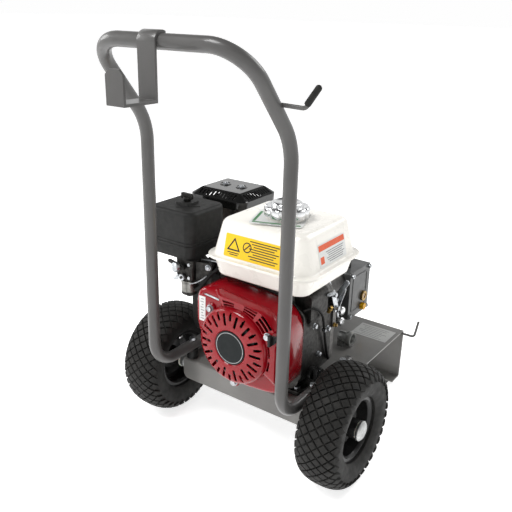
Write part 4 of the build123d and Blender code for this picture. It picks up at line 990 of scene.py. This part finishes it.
spring = coil((113, 62, 300), (113, 34, 304), 3.0, 0.6, 12)
piece("governor_spring", spring, zinc)
STUDS = ((108, 0.7, 256), (103, 60, 226), (110, 64, 295), (110, 78, 263), (103, 30, 186))
screws("crankcase_screws", [facing(spot, (1, 0, 0)) for spot in STUDS], 8, 5, 11)
cable = wire([(100, -24, 292), (110, -14, 300), (118, 10, 286), (112, 30, 250), (108, 44, 214),
              (107, 56, 180), (106, 66, 160)], 2.6)
piece("stop_switch_cable", cable, black_rubber)
clip_frame = facing((110.4, 35, 236), (-0.2, 0.35, -0.9))
clip = lathe([(-3, 3.0), (-3, 4.2), (3, 4.2), (3, 3.0), (-3, 3.0)], clip_frame, 32)
piece("cable_clip", clip, zinc)
brass_ends = [lathe([(-6, 2.4), (-6, 4.4), (2, 4.4), (3, 3.4), (7, 3.2), (7.6, 0)], facing(spot, way), 24)
              for spot, way in (((107, 58, 266), (0.6, 0, 1)), ((106, 80, 226), (1, 0.2, 0)))]
piece("control_pivots", joined(brass_ends), brass)

# ---- Pump ----
# Charcoal-enamelled aluminium crankcase on a cast bell housing, with a forged brass manifold of
# three valve caps a side, an unloader, capped outlets, a sight glass and plastic plugs.
pump_enamel = enamel("charcoal_enamel", "#38393A", "#424343", 0.42, 0.2)
finish(cast_aluminium, 0.5, "pump_adaptor")
finish(pump_enamel, 0.8, "pump_crankcase", "pump_side_cover")
finish(zinc, 0.2, "cover_screws")
finish(brass, 0.4, "pump_head", "valve_caps", "unloader")
finish(black_plastic, 0.4, "unloader_knob")
yellow_plastic = moulding("yellow_moulded_plastic", "#D9A40B", "#CC9606", 0.4)
finish(yellow_plastic, 0.6, "drain_plug")
finish(black_plastic, 0.3, "pump_oil_cap")
finish(brass, 0.3, "sight_glass")
finish(chrome, 0.4, "outlet_fitting")
galvanised = plated("galvanised_iron", "#A7A8A6", "#8C8D8B", 0.45, size=2.0, depth=0.03)
finish(galvanised, 0.5, "inlet_coupling")
crown_at = Vector((*middle_of("pump_oil_cap").xy, mm_box("pump_oil_cap")[1].z))
crown = lathe([(-0.4, 8.0), (0.8, 8.0), (1.6, 7.2), (1.8, 0)], Matrix.Translation(crown_at))
piece("oil_cap_crown", crown, brass, "pump_oil_cap")
GLASS_SUNK = 2.6
glass_at = Vector((mm_box("sight_glass")[1].x - GLASS_SUNK, *middle_of("sight_glass").yz))
amber = surface("oil_behind_glass", "#6E3F12", "#8A5A20", 8, 0.06, (4.0, 0.002),
                {"IOR": 1.5, "Coat Weight": 1.0})
window = lathe([(0, 6.2), (0.9, 6.0), (1.5, 4.0), (1.7, 0)], facing(glass_at, (1, 0, 0)))
piece("sight_window", window, amber)
RIB_MM = 1.0
rib_at = Vector((mm_box("pump_side_cover")[1].x, *middle_of("pump_side_cover").yz))
rib_frame = on_wall(rib_at, (0, 1, 0), (0, 0, 1)) @ Matrix.Translation((0, 0, RIB_MM))
rib = plate([panel((0, 0), 66, 82, 8), panel((0, 0), 60, 76, 6)], RIB_MM, rib_frame)
piece("side_cover_rib", rib, pump_enamel, edge=0.3)
BOLT_CIRCLE_R, BELL_FACE_Y, bell_frames = 57.0, 137.4, []
for step in range(4):
    angle = math.radians(45 + 90 * step)
    spot = (shaft.x + BOLT_CIRCLE_R * math.cos(angle), BELL_FACE_Y, shaft.z + BOLT_CIRCLE_R * math.sin(angle))
    bell_frames.append(facing(spot, (0, 1, 0)))
screws("bell_bolts", bell_frames, 12, 6, 17)
bypass = wire([(-88, 262, 276), (-88, 248, 276), (-86, 232, 270), (-84, 222, 250), (-84, 224, 228),
               (-84, 232, 214)], 6)
piece("bypass_hose", bypass, black_rubber)

# ---- Tray label ----
# A pale printed plate on the tray's front right, with blank rows in place of the maker's data.
tray_frame = Matrix.Translation((103, 275, mm_box("tray")[1].z))
bars = [(grey_ink, [panel((-4 + 3 * (i % 2), 20 - 7 * i), 62 - 10 * (i % 3), 1.8, 0.4)]) for i in range(7)]
label("tray_label", tray_frame, film("silver_film", "#A9AAA8", 0.35), [panel((0, 0), 80, 56, 2.0)], bars)
